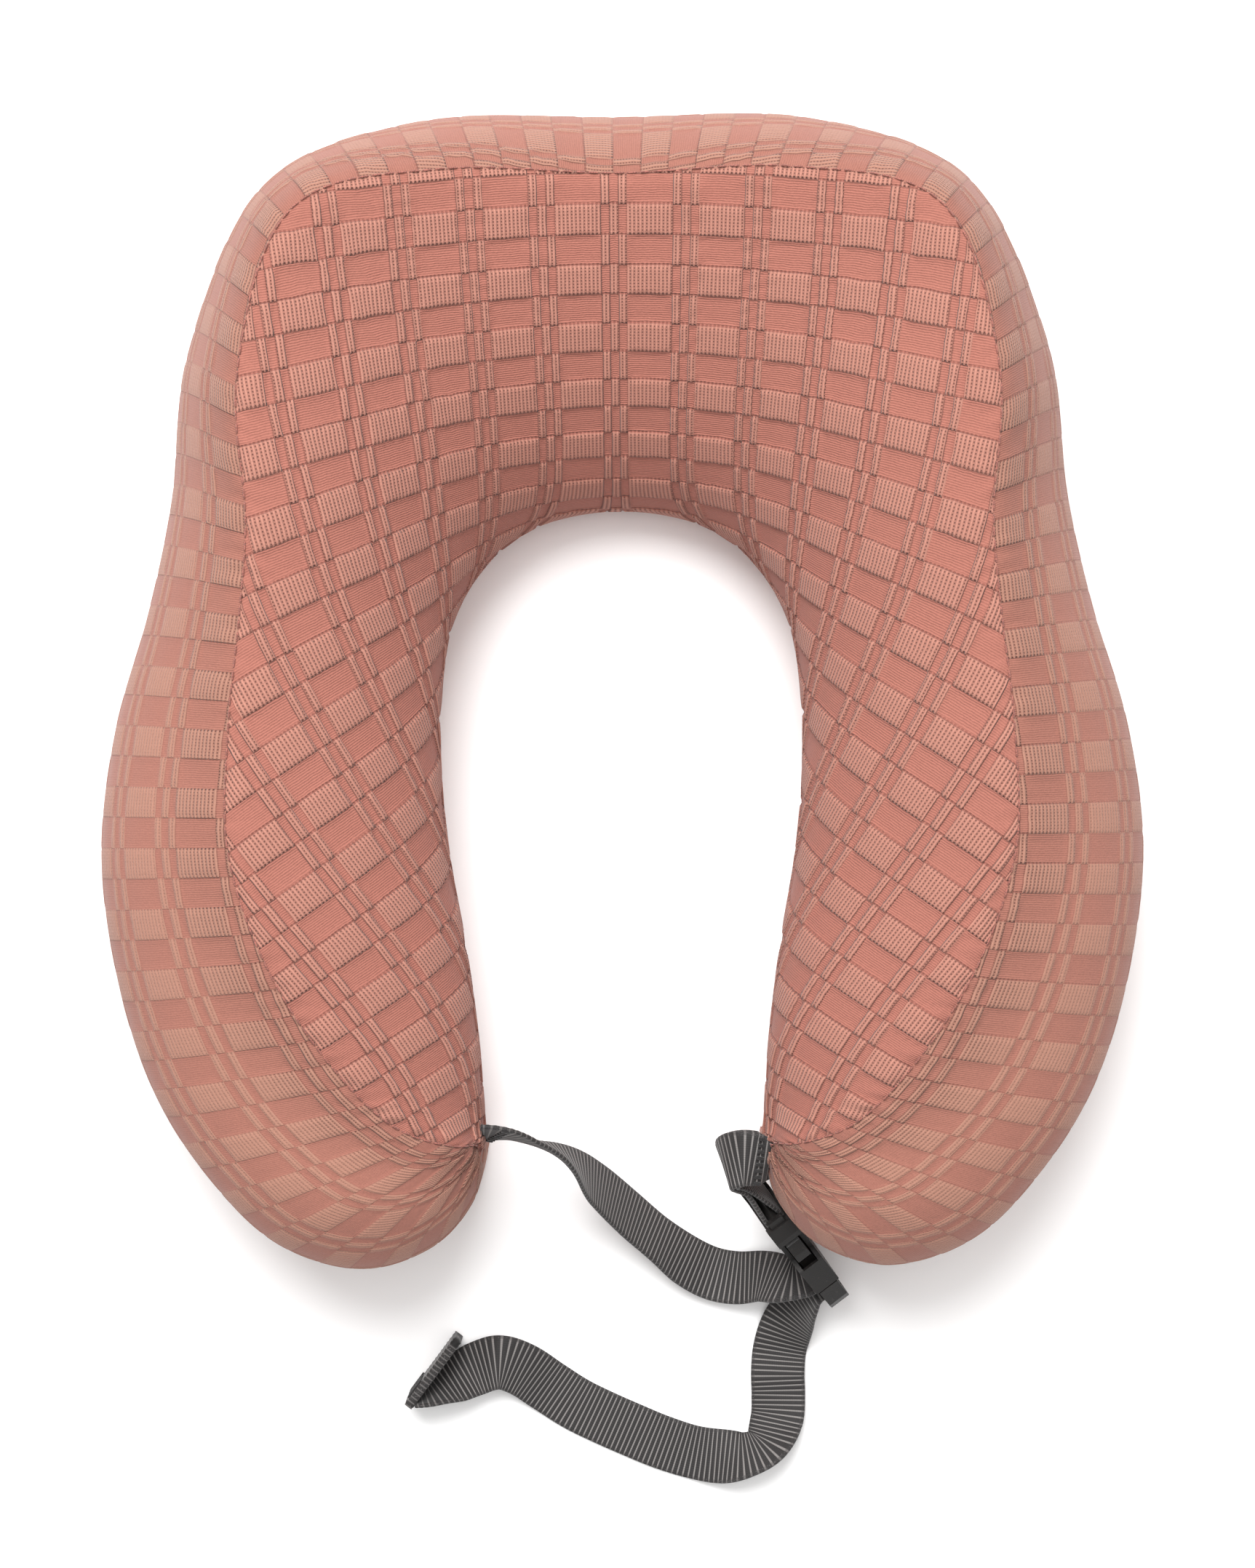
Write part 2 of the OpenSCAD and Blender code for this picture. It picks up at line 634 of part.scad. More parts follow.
// A row of short stitches across a ribbon at row i, sunk a little into one face of it
module stitches(rows, i, thick, face, count, length, width) {
    ring_at = ribbon_ring(rows, i, thick);
    left = face > 0 ? ring_at[1] : ring_at[0];
    right = face > 0 ? ring_at[2] : ring_at[3];
    along = unit(row_point(rows[min(i + 1, len(rows) - 1)]) - row_point(rows[max(i - 1, 0)]));
    up = unit(ring_at[1] - ring_at[0]) * face;
    across = unit(right - left);
    for (k = [0 : count - 1]) {
        a = left + (right - left) * (k + 0.5) / count - up * stitch_sunk;
        corners = [for (q = [[-1, -1], [-1, 1], [1, 1], [1, -1]])
            a + along * q.x * length / 2 + across * q.y * face * width / 2];
        sweep_rings([corners, [for (c = corners) c + up * stitch_t]]);
    }
}
module strap_hem_stitch() {
    color(thread_grey)
        stitches(refined(route_hem), 1, 2 * webbing_t, -1, 6, 6, 0.8);
}

// ---- The short loop that holds the female half: out of the right arm's corner, down round the
// bar and back, as two layers
loop_gap = 0.85;
route_loop = [
    [38.5, -124.4, 50.4, 0, -0.76, -0.65],
    [35.8, -124.4, 50.4, 0.08, -0.93, -0.35],
    [31, -124.2, 50.8, 0.15, -0.98, -0.05],
    [27.8, -125.6, 48, 0.22, -0.92, 0.3],
    [28.2, -127.6, 43.4, 0.3, -0.75, 0.6],
    [31.6, -131.2, 38.8, 0.34, -0.55, 0.76]
];
bar_at = [bar_r, 0, 0];
bar_wrap = bar_r + 0.3 + webbing_t / 2;
function loop_side(rows, off) =
    [for (i = [0 : len(rows) - 1])
        let (ring = ribbon_ring(rows, i, 2), up = unit(ring[1] - ring[0]))
        concat(row_point(rows[i]) + up * off, row_edge(rows[i]))];
module strap_loop() {
    layer_up = loop_side(route_loop, loop_gap);
    layer_down = loop_side(route_loop, -loop_gap);
    round_bar = [for (a = [-75 : 30 : 75])
        concat(on_buckle(bar_at + bar_wrap * [cos(a), 0, -sin(a)]), buckle_y)];
    rows = concat(layer_up, round_bar, [for (i = [len(layer_down) - 1 : -1 : 0]) layer_down[i]]);
    color(webbing_grey)
        ribbon(rows, webbing_t);
}
module strap_bartack() {
    color(thread_grey)
        stitches(refined(route_to_buckle), 2, webbing_t, 1, 8, 2, 0.9);
}
module loop_bartack() {
    color(thread_grey)
        stitches(loop_side(route_loop, loop_gap), 1, webbing_t, 1, 8, 2, 0.9);
}

foam_core();
foam_liner();
foam_liner_base();
cover_top();
cover_side();
cover_base_front();
cover_base_rear();
top_seam_thread();
base_seam_thread();
zip_tape_front();
zip_tape_rear();
zip_teeth_front();
zip_teeth_rear();
zip_stops();
zip_slider();
zip_pull();
strap_webbing();
strap_hem_stitch();
strap_bartack();
strap_loop();
loop_bartack();
buckle_female();
buckle_male();
latch_arm_upper();
latch_arm_lower();
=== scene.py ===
"""U-shaped neck pillow in a pink jacquard knit, with a webbing strap and a side-release buckle.

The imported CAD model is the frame. This script makes the cloth, the filling, the stitches and the webbing
over it, gives every part its material, and sets the floor, the light and the camera. Lengths are
millimetres, except where a name or a comment says metres and in the calls to Blender.
"""

import math

import bmesh
import bpy
import numpy as np
from mathutils import Matrix, Vector


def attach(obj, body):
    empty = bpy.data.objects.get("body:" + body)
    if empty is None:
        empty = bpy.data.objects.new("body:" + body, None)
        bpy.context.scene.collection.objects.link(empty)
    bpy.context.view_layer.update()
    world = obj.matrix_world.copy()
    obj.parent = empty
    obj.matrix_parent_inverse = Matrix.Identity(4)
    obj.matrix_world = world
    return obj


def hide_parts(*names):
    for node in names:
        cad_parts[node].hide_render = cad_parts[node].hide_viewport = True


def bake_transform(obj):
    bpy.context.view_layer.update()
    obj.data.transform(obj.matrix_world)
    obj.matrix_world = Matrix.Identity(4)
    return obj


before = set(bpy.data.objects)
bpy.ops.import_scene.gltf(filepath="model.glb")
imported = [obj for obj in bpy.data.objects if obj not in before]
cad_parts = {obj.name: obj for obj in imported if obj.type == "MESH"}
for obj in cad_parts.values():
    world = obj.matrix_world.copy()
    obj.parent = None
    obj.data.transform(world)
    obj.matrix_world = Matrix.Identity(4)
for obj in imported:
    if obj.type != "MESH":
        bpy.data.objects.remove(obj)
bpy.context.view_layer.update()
MM = 0.001

# ---------------------------------------------------------------- shape of the pillow, as in part.scad
OUTER_EDGE = np.array([
    (37.8, -122.5), (41, -136), (52, -147.8), (71, -153), (93, -145.5), (111, -127),
    (125, -104), (134, -75), (138, -42), (134, -9), (125, 22), (118.5, 52),
    (113.5, 92), (93, 135), (52, 151.5), (0, 152.4),
])
INNER_EDGE = np.array([
    (38, -120), (38, -119.4), (38, -118.6), (38, -117.4), (38.1, -114.5), (38.4, -106),
    (39.6, -90), (42.6, -67), (47, -41), (49, -15), (47.8, 9), (44, 24),
    (36, 37), (24.5, 46.2), (12, 50.4), (0, 51.5),
])
INNER_Z = np.array([30, 32, 35, 38, 42, 46, 48, 49, 49, 48, 45, 38, 28, 22, 19, 18.0])
OUTER_Z = np.array([40, 42, 44, 46, 48, 50, 50, 50, 50, 50, 50, 50, 50, 50, 50, 50.0])
SEAM_SHARE = np.array([0.5, 0.06, 0.04, 0.05, 0.13, 0.3, 0.42, 0.525, 0.585, 0.6, 0.635, 0.68, 0.775,
                       0.84, 0.81, 0.8])
SEAM_Z = np.array([54, 55, 57, 61, 68, 77, 85, 91, 94, 95.5, 97, 99, 103.5, 105, 95, 87.0])
TOP_SLOPE = np.array([60, 60, 55, 50, 45, 28, 14, 8, 5, 5, 8, 12, 16, 20, 22, 22.0])
SIDE_SLOPE = np.array([40, 55, 50, 42, 30, 8, -8, -18, -25, -28, -30, -32, -35, -38, -35, -32.0])
INNER_FOOT = np.array([0.5, 2, 4, 6, 8, 10, 12, 13, 14, 14, 13, 12, 9, 6, 4, 3.5])
OUTER_FOOT = np.array([0.5, 4, 8, 12, 15, 17, 18, 19, 20, 20, 19, 18, 17, 17, 16, 15.0])
LAST_KEY = len(OUTER_EDGE) - 1
RIM_Z = 0.3
FOOT_ANGLE = math.radians(55)
CURVE_POINTS = 60


def curve_through(a, b, c, d, t):
    """The place at t on the smooth curve from b to c, with a before them and d after."""
    return b + 0.5 * t * ((c - a) + t * ((2 * a - 5 * b + 4 * c - d) + t * (3 * (b - c) + d - a)))


def key_curve(keys, s, mirrored_x=False):
    """The value of a list of keys at stations s, on a smooth curve through them. s runs from one arm's tip
    at 0 to the other's at 2 * LAST_KEY, and the keys are mirrored past the middle."""
    flip = np.array([-1.0, 1.0]) if mirrored_x else 1.0
    full = np.concatenate([keys, keys[-2::-1] * flip])
    padded = np.concatenate([full[:1], full, full[-1:]])
    i = np.clip(np.floor(s).astype(int), 0, 2 * LAST_KEY - 1)
    t = s - i
    if keys.ndim > 1:
        t = t[:, None]
    return curve_through(padded[i], padded[i + 1], padded[i + 2], padded[i + 3], t)


def swing(angle):
    return np.stack([np.cos(angle), np.sin(angle)], axis=-1)


def flat_pair(x, z):
    return np.stack(np.broadcast_arrays(x, z), axis=-1).astype(float)


class Cut:
    """The vertical cuts through the pillow at stations s: four Bezier curves each, as [distance from the
    inner edge, height], in the order inner foot, top, side, outer foot."""

    def __init__(self, s):
        self.s = s
        self.inner = key_curve(INNER_EDGE, s, mirrored_x=True)
        self.outer = key_curve(OUTER_EDGE, s, mirrored_x=True)
        span = self.outer - self.inner
        self.width = np.linalg.norm(span, axis=1)
        self.along = span / self.width[:, None]
        seam = flat_pair(key_curve(SEAM_SHARE, s) * self.width, key_curve(SEAM_Z, s))
        inner_foot, outer_foot = key_curve(INNER_FOOT, s), key_curve(OUTER_FOOT, s)
        first = flat_pair(inner_foot, RIM_Z)
        wall = flat_pair(0.0, key_curve(INNER_Z, s))
        limb = flat_pair(self.width, key_curve(OUTER_Z, s))
        last = flat_pair(self.width - outer_foot, RIM_Z)
        foot_out = np.array([-math.cos(FOOT_ANGLE), math.sin(FOOT_ANGLE)])
        foot_in = np.array([math.cos(FOOT_ANGLE), math.sin(FOOT_ANGLE)])
        zero = np.zeros(len(s))
        side_span = limb[:, 0] - seam[:, 0]
        drop = seam[:, 1] - limb[:, 1]
        top_slope = np.radians(key_curve(TOP_SLOPE, s))
        side_slope = np.radians(key_curve(SIDE_SLOPE, s))
        self.curves = [
            (first, first + 0.5 * inner_foot[:, None] * foot_out,
             wall - flat_pair(zero, 0.5 * wall[:, 1]), wall),
            (wall, wall + flat_pair(zero, 0.45 * (seam[:, 1] - wall[:, 1])),
             seam - 0.45 * seam[:, :1] * swing(top_slope), seam),
            (seam, seam + 0.5 * side_span[:, None] * swing(side_slope),
             limb + flat_pair(zero, 0.35 * side_span + 0.25 * drop), limb),
            (limb, limb - flat_pair(zero, 0.5 * limb[:, 1]),
             last + 0.5 * outer_foot[:, None] * foot_in, last),
        ]

    def line(self, first, last):
        """The chosen curves of each cut, end to end, as a dense polyline."""
        t = np.linspace(0, 1, CURVE_POINTS)[None, :, None]
        pieces = []
        for k in range(first, last + 1):
            a, b, c, d = (p[:, None, :] for p in self.curves[k])
            points = a * (1 - t) ** 3 + 3 * b * t * (1 - t) ** 2 + 3 * c * t * t * (1 - t) + d * t ** 3
            pieces.append(points if k == first else points[:, 1:])
        return np.concatenate(pieces, axis=1)

    def evenly(self, first, last, count):
        """count points evenly spaced along the chosen curves of each cut, and each cut's length."""
        line = self.line(first, last)
        lengths = np.zeros(len(self.s))
        even = np.zeros((len(self.s), count, 2))
        for k, points in enumerate(line):
            run = run_along(points)
            at = np.linspace(0, run[-1], count)
            even[k, :, 0] = np.interp(at, run, points[:, 0])
            even[k, :, 1] = np.interp(at, run, points[:, 1])
            lengths[k] = run[-1]
        return even, lengths

    def in_space(self, points):
        """Points of the cuts in space, in metres."""
        plan = self.inner[:, None, :] + points[..., :1] * self.along[:, None, :]
        return np.concatenate([plan, points[..., 1:]], axis=-1) * MM


def stations(count, start=0.0):
    """Stations from one tip to the other, a little closer together round the tips."""
    u = np.linspace(-1, 1, count)
    s = (LAST_KEY - start) * (0.85 * np.abs(u) + 0.15 * u * u) * np.sign(u)
    return LAST_KEY + s


def smoothstep(low, high, x):
    t = np.clip((x - low) / (high - low), 0, 1)
    return t * t * (3 - 2 * t)


def unit(v):
    return v / np.maximum(np.linalg.norm(v, axis=-1, keepdims=True), 1e-12)


def run_along(points):
    """The distance along a line of points, at each of them."""
    return np.concatenate([[0], np.cumsum(np.linalg.norm(np.diff(points, axis=0), axis=1))])


def smooth_along(values, steps):
    """Evens out a grid along its first axis."""
    for _ in range(steps):
        values[1:-1] = 0.25 * values[:-2] + 0.5 * values[1:-1] + 0.25 * values[2:]
    return values


# ---------------------------------------------------------------- meshes
def grid_mesh(name, points, uv=None, attributes=None, flip=False):
    """A mesh object from a grid of points, with an optional UV grid and per-point attributes."""
    n, m = points.shape[:2]
    index = np.arange(n * m).reshape(n, m)
    quads = np.stack([index[:-1, :-1], index[1:, :-1], index[1:, 1:], index[:-1, 1:]], axis=-1).reshape(-1, 4)
    if flip:
        quads = quads[:, ::-1]
    mesh = bpy.data.meshes.new(name)
    mesh.vertices.add(n * m)
    mesh.vertices.foreach_set("co", points.reshape(-1))
    mesh.loops.add(quads.size)
    mesh.loops.foreach_set("vertex_index", quads.reshape(-1))
    mesh.polygons.add(len(quads))
    mesh.polygons.foreach_set("loop_start", np.arange(0, quads.size, 4))
    mesh.polygons.foreach_set("use_smooth", np.ones(len(quads), bool))
    mesh.update(calc_edges=True)
    if uv is not None:
        layer = mesh.uv_layers.new(name="knit")
        layer.data.foreach_set("uv", uv.reshape(-1, 2)[quads.reshape(-1)].reshape(-1))
    for key, values in (attributes or {}).items():
        layer = mesh.attributes.new(key, "FLOAT", "POINT")
        layer.data.foreach_set("value", np.ascontiguousarray(values, dtype=float).reshape(-1))
    mesh.validate()
    obj = bpy.data.objects.new(name, mesh)
    bpy.context.scene.collection.objects.link(obj)
    return obj


def declare(piece, node):
    """Hides the node that a piece of the pillow stands for, and hangs the piece on the pillow's body."""
    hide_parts(node)
    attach(piece, "pillow")


def thicken(piece, thickness):
    """Gives a sheet its thickness in metres, on the side its normals turn away from."""
    cloth = piece.modifiers.new("cloth_thickness", "SOLIDIFY")
    cloth.thickness = thickness
    cloth.offset = -1.0


def outward_faces(obj):
    """Turns every closed shell's faces outwards."""
    work = bmesh.new()
    work.from_mesh(obj.data)
    bmesh.ops.recalc_face_normals(work, faces=work.faces)
    work.to_mesh(obj.data)
    work.free()
    return obj


def grid_normals(points):
    """Unit normals of a grid of points, pointing out of the pillow when the grid runs tip to tip and from
    the inner foot over the top to the outer foot."""
    return unit(np.cross(np.gradient(points, axis=1), np.gradient(points, axis=0)))


# ---------------------------------------------------------------- the knit's pattern
# Columns across a repeat: a wide one and three narrow ones. Raised and sunken blocks alternate like a
# chessboard from column to column and from row to row.
COLUMN_EDGES = (0.0, 12.4, 14.7, 17.2)
REPEAT = 19.5
ROW = 8.2
RIB = 1.13
TRIO_MIDDLE = 0.5 * (COLUMN_EDGES[1] + REPEAT)
RELIEF = 0.75
BLOCK_SOFT = 0.35
# How far the columns lean outwards from straight to the back, in degrees at each key
COLUMN_LEAN = np.array([25, 26, 28, 30, 32, 35, 38, 40, 38, 33, 25, 15, 8, 5, 2, 0.0])


def block_height(x, y):
    """1 on the raised blocks and 0 on the sunken ones, at x across the columns and y along them."""
    soft = BLOCK_SOFT
    across = np.mod(x, REPEAT)
    edges = list(COLUMN_EDGES) + [REPEAT]
    row = np.mod(y, 2 * ROW)
    in_row = smoothstep(-soft, soft, row) - smoothstep(ROW - soft, ROW + soft, row)
    in_row = in_row + smoothstep(2 * ROW - soft, 2 * ROW + soft, row)
    odd = np.zeros_like(across)
    for k in range(len(COLUMN_EDGES)):
        inside = smoothstep(edges[k] - soft, edges[k] + soft, across)
        inside = inside - smoothstep(edges[k + 1] - soft, edges[k + 1] + soft, across)
        if k == 0:
            inside = inside + smoothstep(REPEAT - soft, REPEAT + soft, across)
        if k == len(COLUMN_EDGES) - 1:
            inside = inside + 1 - smoothstep(-soft, soft, across)
        odd = odd + (inside if k % 2 == 0 else 0)
    return odd * in_row + (1 - odd) * (1 - in_row)


# The fit's coarse grid, and a weight that keeps its equations solvable
PLAN_COLUMNS = 101
PLAN_ROWS = 23
HELD_IN_PLACE = 1e-6


def knit_plan(points, cut):
    """Where each point of the top panel lies on the flat knit, in millimetres. On the pillow the columns lean
    as COLUMN_LEAN says, and a least-squares fit finds the flat places that follow them with least stretch."""
    n, m = points.shape[:2]
    columns, rows = PLAN_COLUMNS, PLAN_ROWS
    i = np.round(np.linspace(0, n - 1, columns)).astype(int)
    j = np.round(np.linspace(0, m - 1, rows)).astype(int)
    coarse = points[np.ix_(i, j)] / MM
    normal = grid_normals(coarse)
    outward = np.gradient(coarse, axis=1)
    outward = unit(outward - normal * (outward * normal).sum(axis=-1, keepdims=True))
    half = np.where(cut.s[i] <= LAST_KEY, 1.0, -1.0)[:, None, None]
    backward = np.cross(normal, outward) * half
    lean = np.radians(key_curve(COLUMN_LEAN, cut.s[i]))
    turn = np.arctan2(np.abs(cut.along[i, 0]), cut.along[i, 1]) - lean
    turn = turn[:, None, None]
    columnwise = np.cos(turn) * outward + np.sin(turn) * backward
    rowwise = np.cross(columnwise, normal)
    index = np.arange(columns * rows).reshape(columns, rows)
    matrix = np.eye(columns * rows) * HELD_IN_PLACE
    wanted = np.zeros((columns * rows, 2))
    for here, there in ((np.s_[:-1, :], np.s_[1:, :]), (np.s_[:, :-1], np.s_[:, 1:])):
        a, b = index[here].reshape(-1), index[there].reshape(-1)
        edge = (coarse[there] - coarse[here]).reshape(-1, 3)
        across = 0.5 * (rowwise[there] + rowwise[here]).reshape(-1, 3)
        down = 0.5 * (columnwise[there] + columnwise[here]).reshape(-1, 3)
        step = np.stack([(edge * across).sum(axis=1), (edge * down).sum(axis=1)], axis=1)
        for p, q, sign in ((a, a, 1), (b, b, 1), (a, b, -1), (b, a, -1)):
            np.add.at(matrix, (p, q), sign)
        np.add.at(wanted, a, -step)
        np.add.at(wanted, b, step)
    flat = np.linalg.solve(matrix, wanted).reshape(columns, rows, 2)
    return spread_grid(flat - flat[columns // 2, -1], i, j, n, m)


def spread_grid(values, i, j, n, m):
    """Values on a coarse grid at columns i and rows j, read off at every point of an n by m grid."""
    wide = np.stack([
        np.stack([np.interp(np.arange(n), i, values[:, b, k]) for b in range(values.shape[1])], axis=1)
        for k in range(values.shape[2])], axis=-1)
    return np.stack([
        np.stack([np.interp(np.arange(m), j, wide[a, :, k]) for a in range(n)], axis=0)
        for k in range(values.shape[2])], axis=-1)


# ---------------------------------------------------------------- shader graphs
class Graph:
    """Short calls for building a material's nodes."""

    def __init__(self, name):
        self.material = bpy.data.materials.new(name)
        self.material.use_nodes = True
        self.tree = self.material.node_tree
        self.tree.nodes.clear()
        self.output = self.tree.nodes.new("ShaderNodeOutputMaterial")
        self.shader = self.tree.nodes.new("ShaderNodeBsdfPrincipled")
        self.link(self.shader.outputs[0], self.output.inputs["Surface"])

    def link(self, a, b):
        self.tree.links.new(a, b)

    def node(self, kind, **settings):
        made = self.tree.nodes.new(kind)
        for key, value in settings.items():
            setattr(made, key, value)
        return made

    def feed(self, socket, value):
        if isinstance(value, bpy.types.NodeSocket):
            self.link(value, socket)
        else:
            socket.default_value = value

    def math(self, operation, *values, clamp=False):
        made = self.node("ShaderNodeMath", operation=operation, use_clamp=clamp)
        for socket, value in zip(made.inputs, values):
            self.feed(socket, value)
        return made.outputs[0]

    def times(self, product, *values):
        """The product of all the values."""
        for value in values:
            product = self.math("MULTIPLY", product, value)
        return product

    def flipped(self, value):
        """1 less the value."""
        return self.math("SUBTRACT", 1.0, value)

    def step(self, low, high, value):
        """0 below low, 1 above high and smooth between."""
        made = self.node("ShaderNodeMapRange", interpolation_type="SMOOTHSTEP")
        for key, v in (("Value", value), ("From Min", low), ("From Max", high)):
            self.feed(made.inputs[key], v)
        return made.outputs["Result"]

    def band(self, low, high, soft, value):
        """1 between low and high."""
        return self.math("SUBTRACT", self.step(low - soft, low + soft, value),
                         self.step(high - soft, high + soft, value))

    def mix(self, factor, a, b):
        """A colour between a and b."""
        made = self.node("ShaderNodeMix", data_type="RGBA")
        self.feed(made.inputs["Factor"], factor)
        self.feed(made.inputs["A"], a)
        self.feed(made.inputs["B"], b)
        return made.outputs["Result"]

    def noise(self, scale, detail):
        made = self.node("ShaderNodeTexNoise")
        made.inputs["Scale"].default_value = scale
        made.inputs["Detail"].default_value = detail
        made.inputs["Roughness"].default_value = 0.5
        self.link(self.place(), made.inputs["Vector"])
        return made.outputs["Fac"]

    def place(self):
        """Where the point is on the object, in metres."""
        return self.node("ShaderNodeTexCoord").outputs["Object"]

    def attribute(self, name):
        return self.node("ShaderNodeAttribute", attribute_name=name).outputs["Fac"]

    def uv(self):
        """The two coordinates of the piece's own UV map."""
        split = self.node("ShaderNodeSeparateXYZ")
        self.link(self.node("ShaderNodeUVMap", uv_map="knit").outputs[0], split.inputs[0])
        return split.outputs[0], split.outputs[1]

    def wave(self, value, period, shift=0.0):
        """A smooth wave from 0 to 1, with 1 at the middle of each period."""
        turns = self.math("MULTIPLY_ADD", value, 2 * math.pi / period, shift)
        return self.math("MULTIPLY_ADD", self.math("COSINE", turns), -0.5, 0.5)

    def bump(self, height, distance):
        made = self.node("ShaderNodeBump")
        made.inputs["Distance"].default_value = distance
        made.inputs["Strength"].default_value = 1.0
        self.link(height, made.inputs["Height"])
        return made.outputs[0]

    def settle(self, **values):
        """Sets or links the shader's own sockets."""
        for key, value in values.items():
            self.feed(self.shader.inputs[key.replace("_", " ")], value)
        return self.material


def srgb(r, g, b):
    """A linear colour with alpha, from screen values of 0 to 255."""
    linear = [(v / 255) / 12.92 if v <= 10 else ((v / 255 + 0.055) / 1.055) ** 2.4 for v in (r, g, b)]
    return (*linear, 1.0)


# Lengths in the knit's material, beside the pattern's own
LINE_SOFT = 0.16
LINE_HALF = 0.16
LOOP_PITCH = 0.86
FINE_PITCH = 0.62
# How strong the painted shade is in the rib valleys, the small holes and the fine crosswise lines, and along
# the blocks' edges
RIB_SHADE = 0.3
HOLE_SHADE = 0.5
FINE_SHADE = 0.22
EDGE_SHADE = 0.42


def raised_blocks(g, across, row):
    """1 on the raised blocks and 0 on the sunken ones, in the places that block_height gives."""
    in_row = g.band(0.0, ROW, LINE_SOFT, row)
    odd = g.math("ADD", g.band(-1.0, COLUMN_EDGES[1], LINE_SOFT, across),
                 g.band(COLUMN_EDGES[2], COLUMN_EDGES[3], LINE_SOFT, across))
    here = g.times(odd, in_row)
    there = g.times(g.flipped(odd), g.flipped(in_row))
    return g.math("ADD", here, there, clamp=True)


def block_edges(g, x, y, across):
    """1 on the dotted line along each block's lower edge, and less on the lines between the columns: small
    grooves in the knit, with painted shade along them.
    """
    lower = g.flipped(g.step(0.22, 0.6, g.math("FLOORED_MODULO", y, ROW)))
    dots = g.step(0.3, 0.75, g.wave(x, RIB, math.pi))
    lines = g.times(lower, g.math("MULTIPLY_ADD", dots, 0.6, 0.4))
    for edge in COLUMN_EDGES[1:] + (REPEAT - 0.05,):
        upright = g.band(edge - LINE_HALF, edge + LINE_HALF, 0.12, across)
        lines = g.math("ADD", lines, g.times(upright, 0.6), clamp=True)
    return lines


def knit_material(name, raised, sunken, painted_shade_colour, rib_depth):
    """Jacquard knit: ribbed raised blocks with rows of small holes, smooth sunken blocks with fine crosswise
    lines, and lines along the blocks' edges. The rib valleys, the holes, the fine lines and the edge lines
    get painted shade, a darker colour mixed in as far as the relief attribute allows."""
    g = Graph(name)
    x, y = g.uv()
    relief = g.attribute("relief")
    across = g.math("FLOORED_MODULO", x, REPEAT)
    row = g.math("FLOORED_MODULO", y, 2 * ROW)
    up = raised_blocks(g, across, row)
    down = g.flipped(up)

    wobble = g.noise(260.0, 2.0)
    rib_x = g.math("ADD", x, g.math("MULTIPLY_ADD", wobble, 0.16, -0.08))
    rib = g.wave(rib_x, RIB)
    valley = g.flipped(rib)
    loops = g.wave(y, LOOP_PITCH)
    hole = g.times(g.step(0.72, 0.98, valley), g.step(0.35, 0.9, loops))
    fine = g.wave(g.math("ADD", y, g.times(g.noise(420.0, 2.0), 0.5)), FINE_PITCH)
    lines = block_edges(g, x, y, across)

    tone = g.noise(14.0, 4.0)
    yarn = g.noise(1900.0, 2.0)
    # painted shade in the rib valleys, the holes, the fine lines and along the block edges
    shade = g.times(valley, up, RIB_SHADE)
    shade = g.math("ADD", shade, g.times(hole, up, HOLE_SHADE))
    shade = g.math("ADD", shade, g.times(g.flipped(fine), down, FINE_SHADE))
    shade = g.math("ADD", shade, g.times(lines, EDGE_SHADE))
    shade = g.math("MULTIPLY", shade, relief, clamp=True)
    colour = g.mix(up, sunken, raised)
    colour = g.mix(shade, colour, painted_shade_colour)
    lit = g.math("MULTIPLY_ADD", tone, 0.16, 0.92)
    lit = g.times(lit, g.math("MULTIPLY_ADD", yarn, 0.34, 0.83))
    tint = g.node("ShaderNodeHueSaturation")
    g.feed(tint.inputs["Color"], colour)
    g.feed(tint.inputs["Value"], lit)

    height = g.times(g.math("ADD", rib, 1.2), up)
    height = g.math("SUBTRACT", height, g.times(hole, up, 0.8))
    height = g.math("ADD", height, g.times(fine, down, 0.45))
    height = g.math("SUBTRACT", height, lines)
    height = g.math("ADD", g.times(height, relief), g.times(yarn, 0.5))
    return g.settle(Base_Color=tint.outputs[0], Normal=g.bump(height, rib_depth), Roughness=0.92,
                    Sheen_Weight=0.12, Sheen_Roughness=0.5, Specular_IOR_Level=0.15)


def webbing_material(total_run):
    """Grosgrain webbing: dark ribs across it with a thin painted highlight between, a firm edge, and a black
    melted end after total_run millimetres."""
    g = Graph("ribbed_webbing")
    x, y = g.uv()
    rib = g.wave(y, WEBBING_RIB)
    # painted highlight: a thin pale line between the ribs, fainter towards the edges
    line = g.step(0.72, 0.97, g.flipped(rib))
    edge = g.step(6.3, 6.9, g.math("ABSOLUTE", x))
    fleck = g.wave(x, 0.5)
    speck = g.step(0.55, 0.7, g.noise(2600.0, 1.0))
    pale = g.times(line, g.math("MULTIPLY_ADD", fleck, 0.2, 0.8))
    pale = g.times(pale, g.math("MULTIPLY_ADD", edge, -0.5, 1.0))
    colour = g.mix(pale, srgb(38, 36, 36), srgb(128, 124, 122))
    colour = g.mix(g.times(edge, speck, 0.5), colour, srgb(96, 92, 92))
    melted = g.step(total_run - 2.2, total_run - 1.2, y)
    colour = g.mix(melted, colour, srgb(16, 14, 14))
    height = g.math("ADD", g.times(g.wave(x, 0.62), 0.25), g.times(speck, 0.2))
    return g.settle(Base_Color=colour, Normal=g.bump(height, 0.00012), Roughness=0.7, Sheen_Weight=0.15,
                    Specular_IOR_Level=0.35)


def thread_material(name, colour):
    """Twisted sewing thread."""
    g = Graph(name)
    twist = g.wave(g.noise(900.0, 1.0), 0.2)
    shaded = g.mix(twist, colour, tuple(0.55 * v for v in colour[:3]) + (1.0,))
    return g.settle(Base_Color=shaded, Normal=g.bump(twist, 0.00008), Roughness=0.8, Sheen_Weight=0.2)


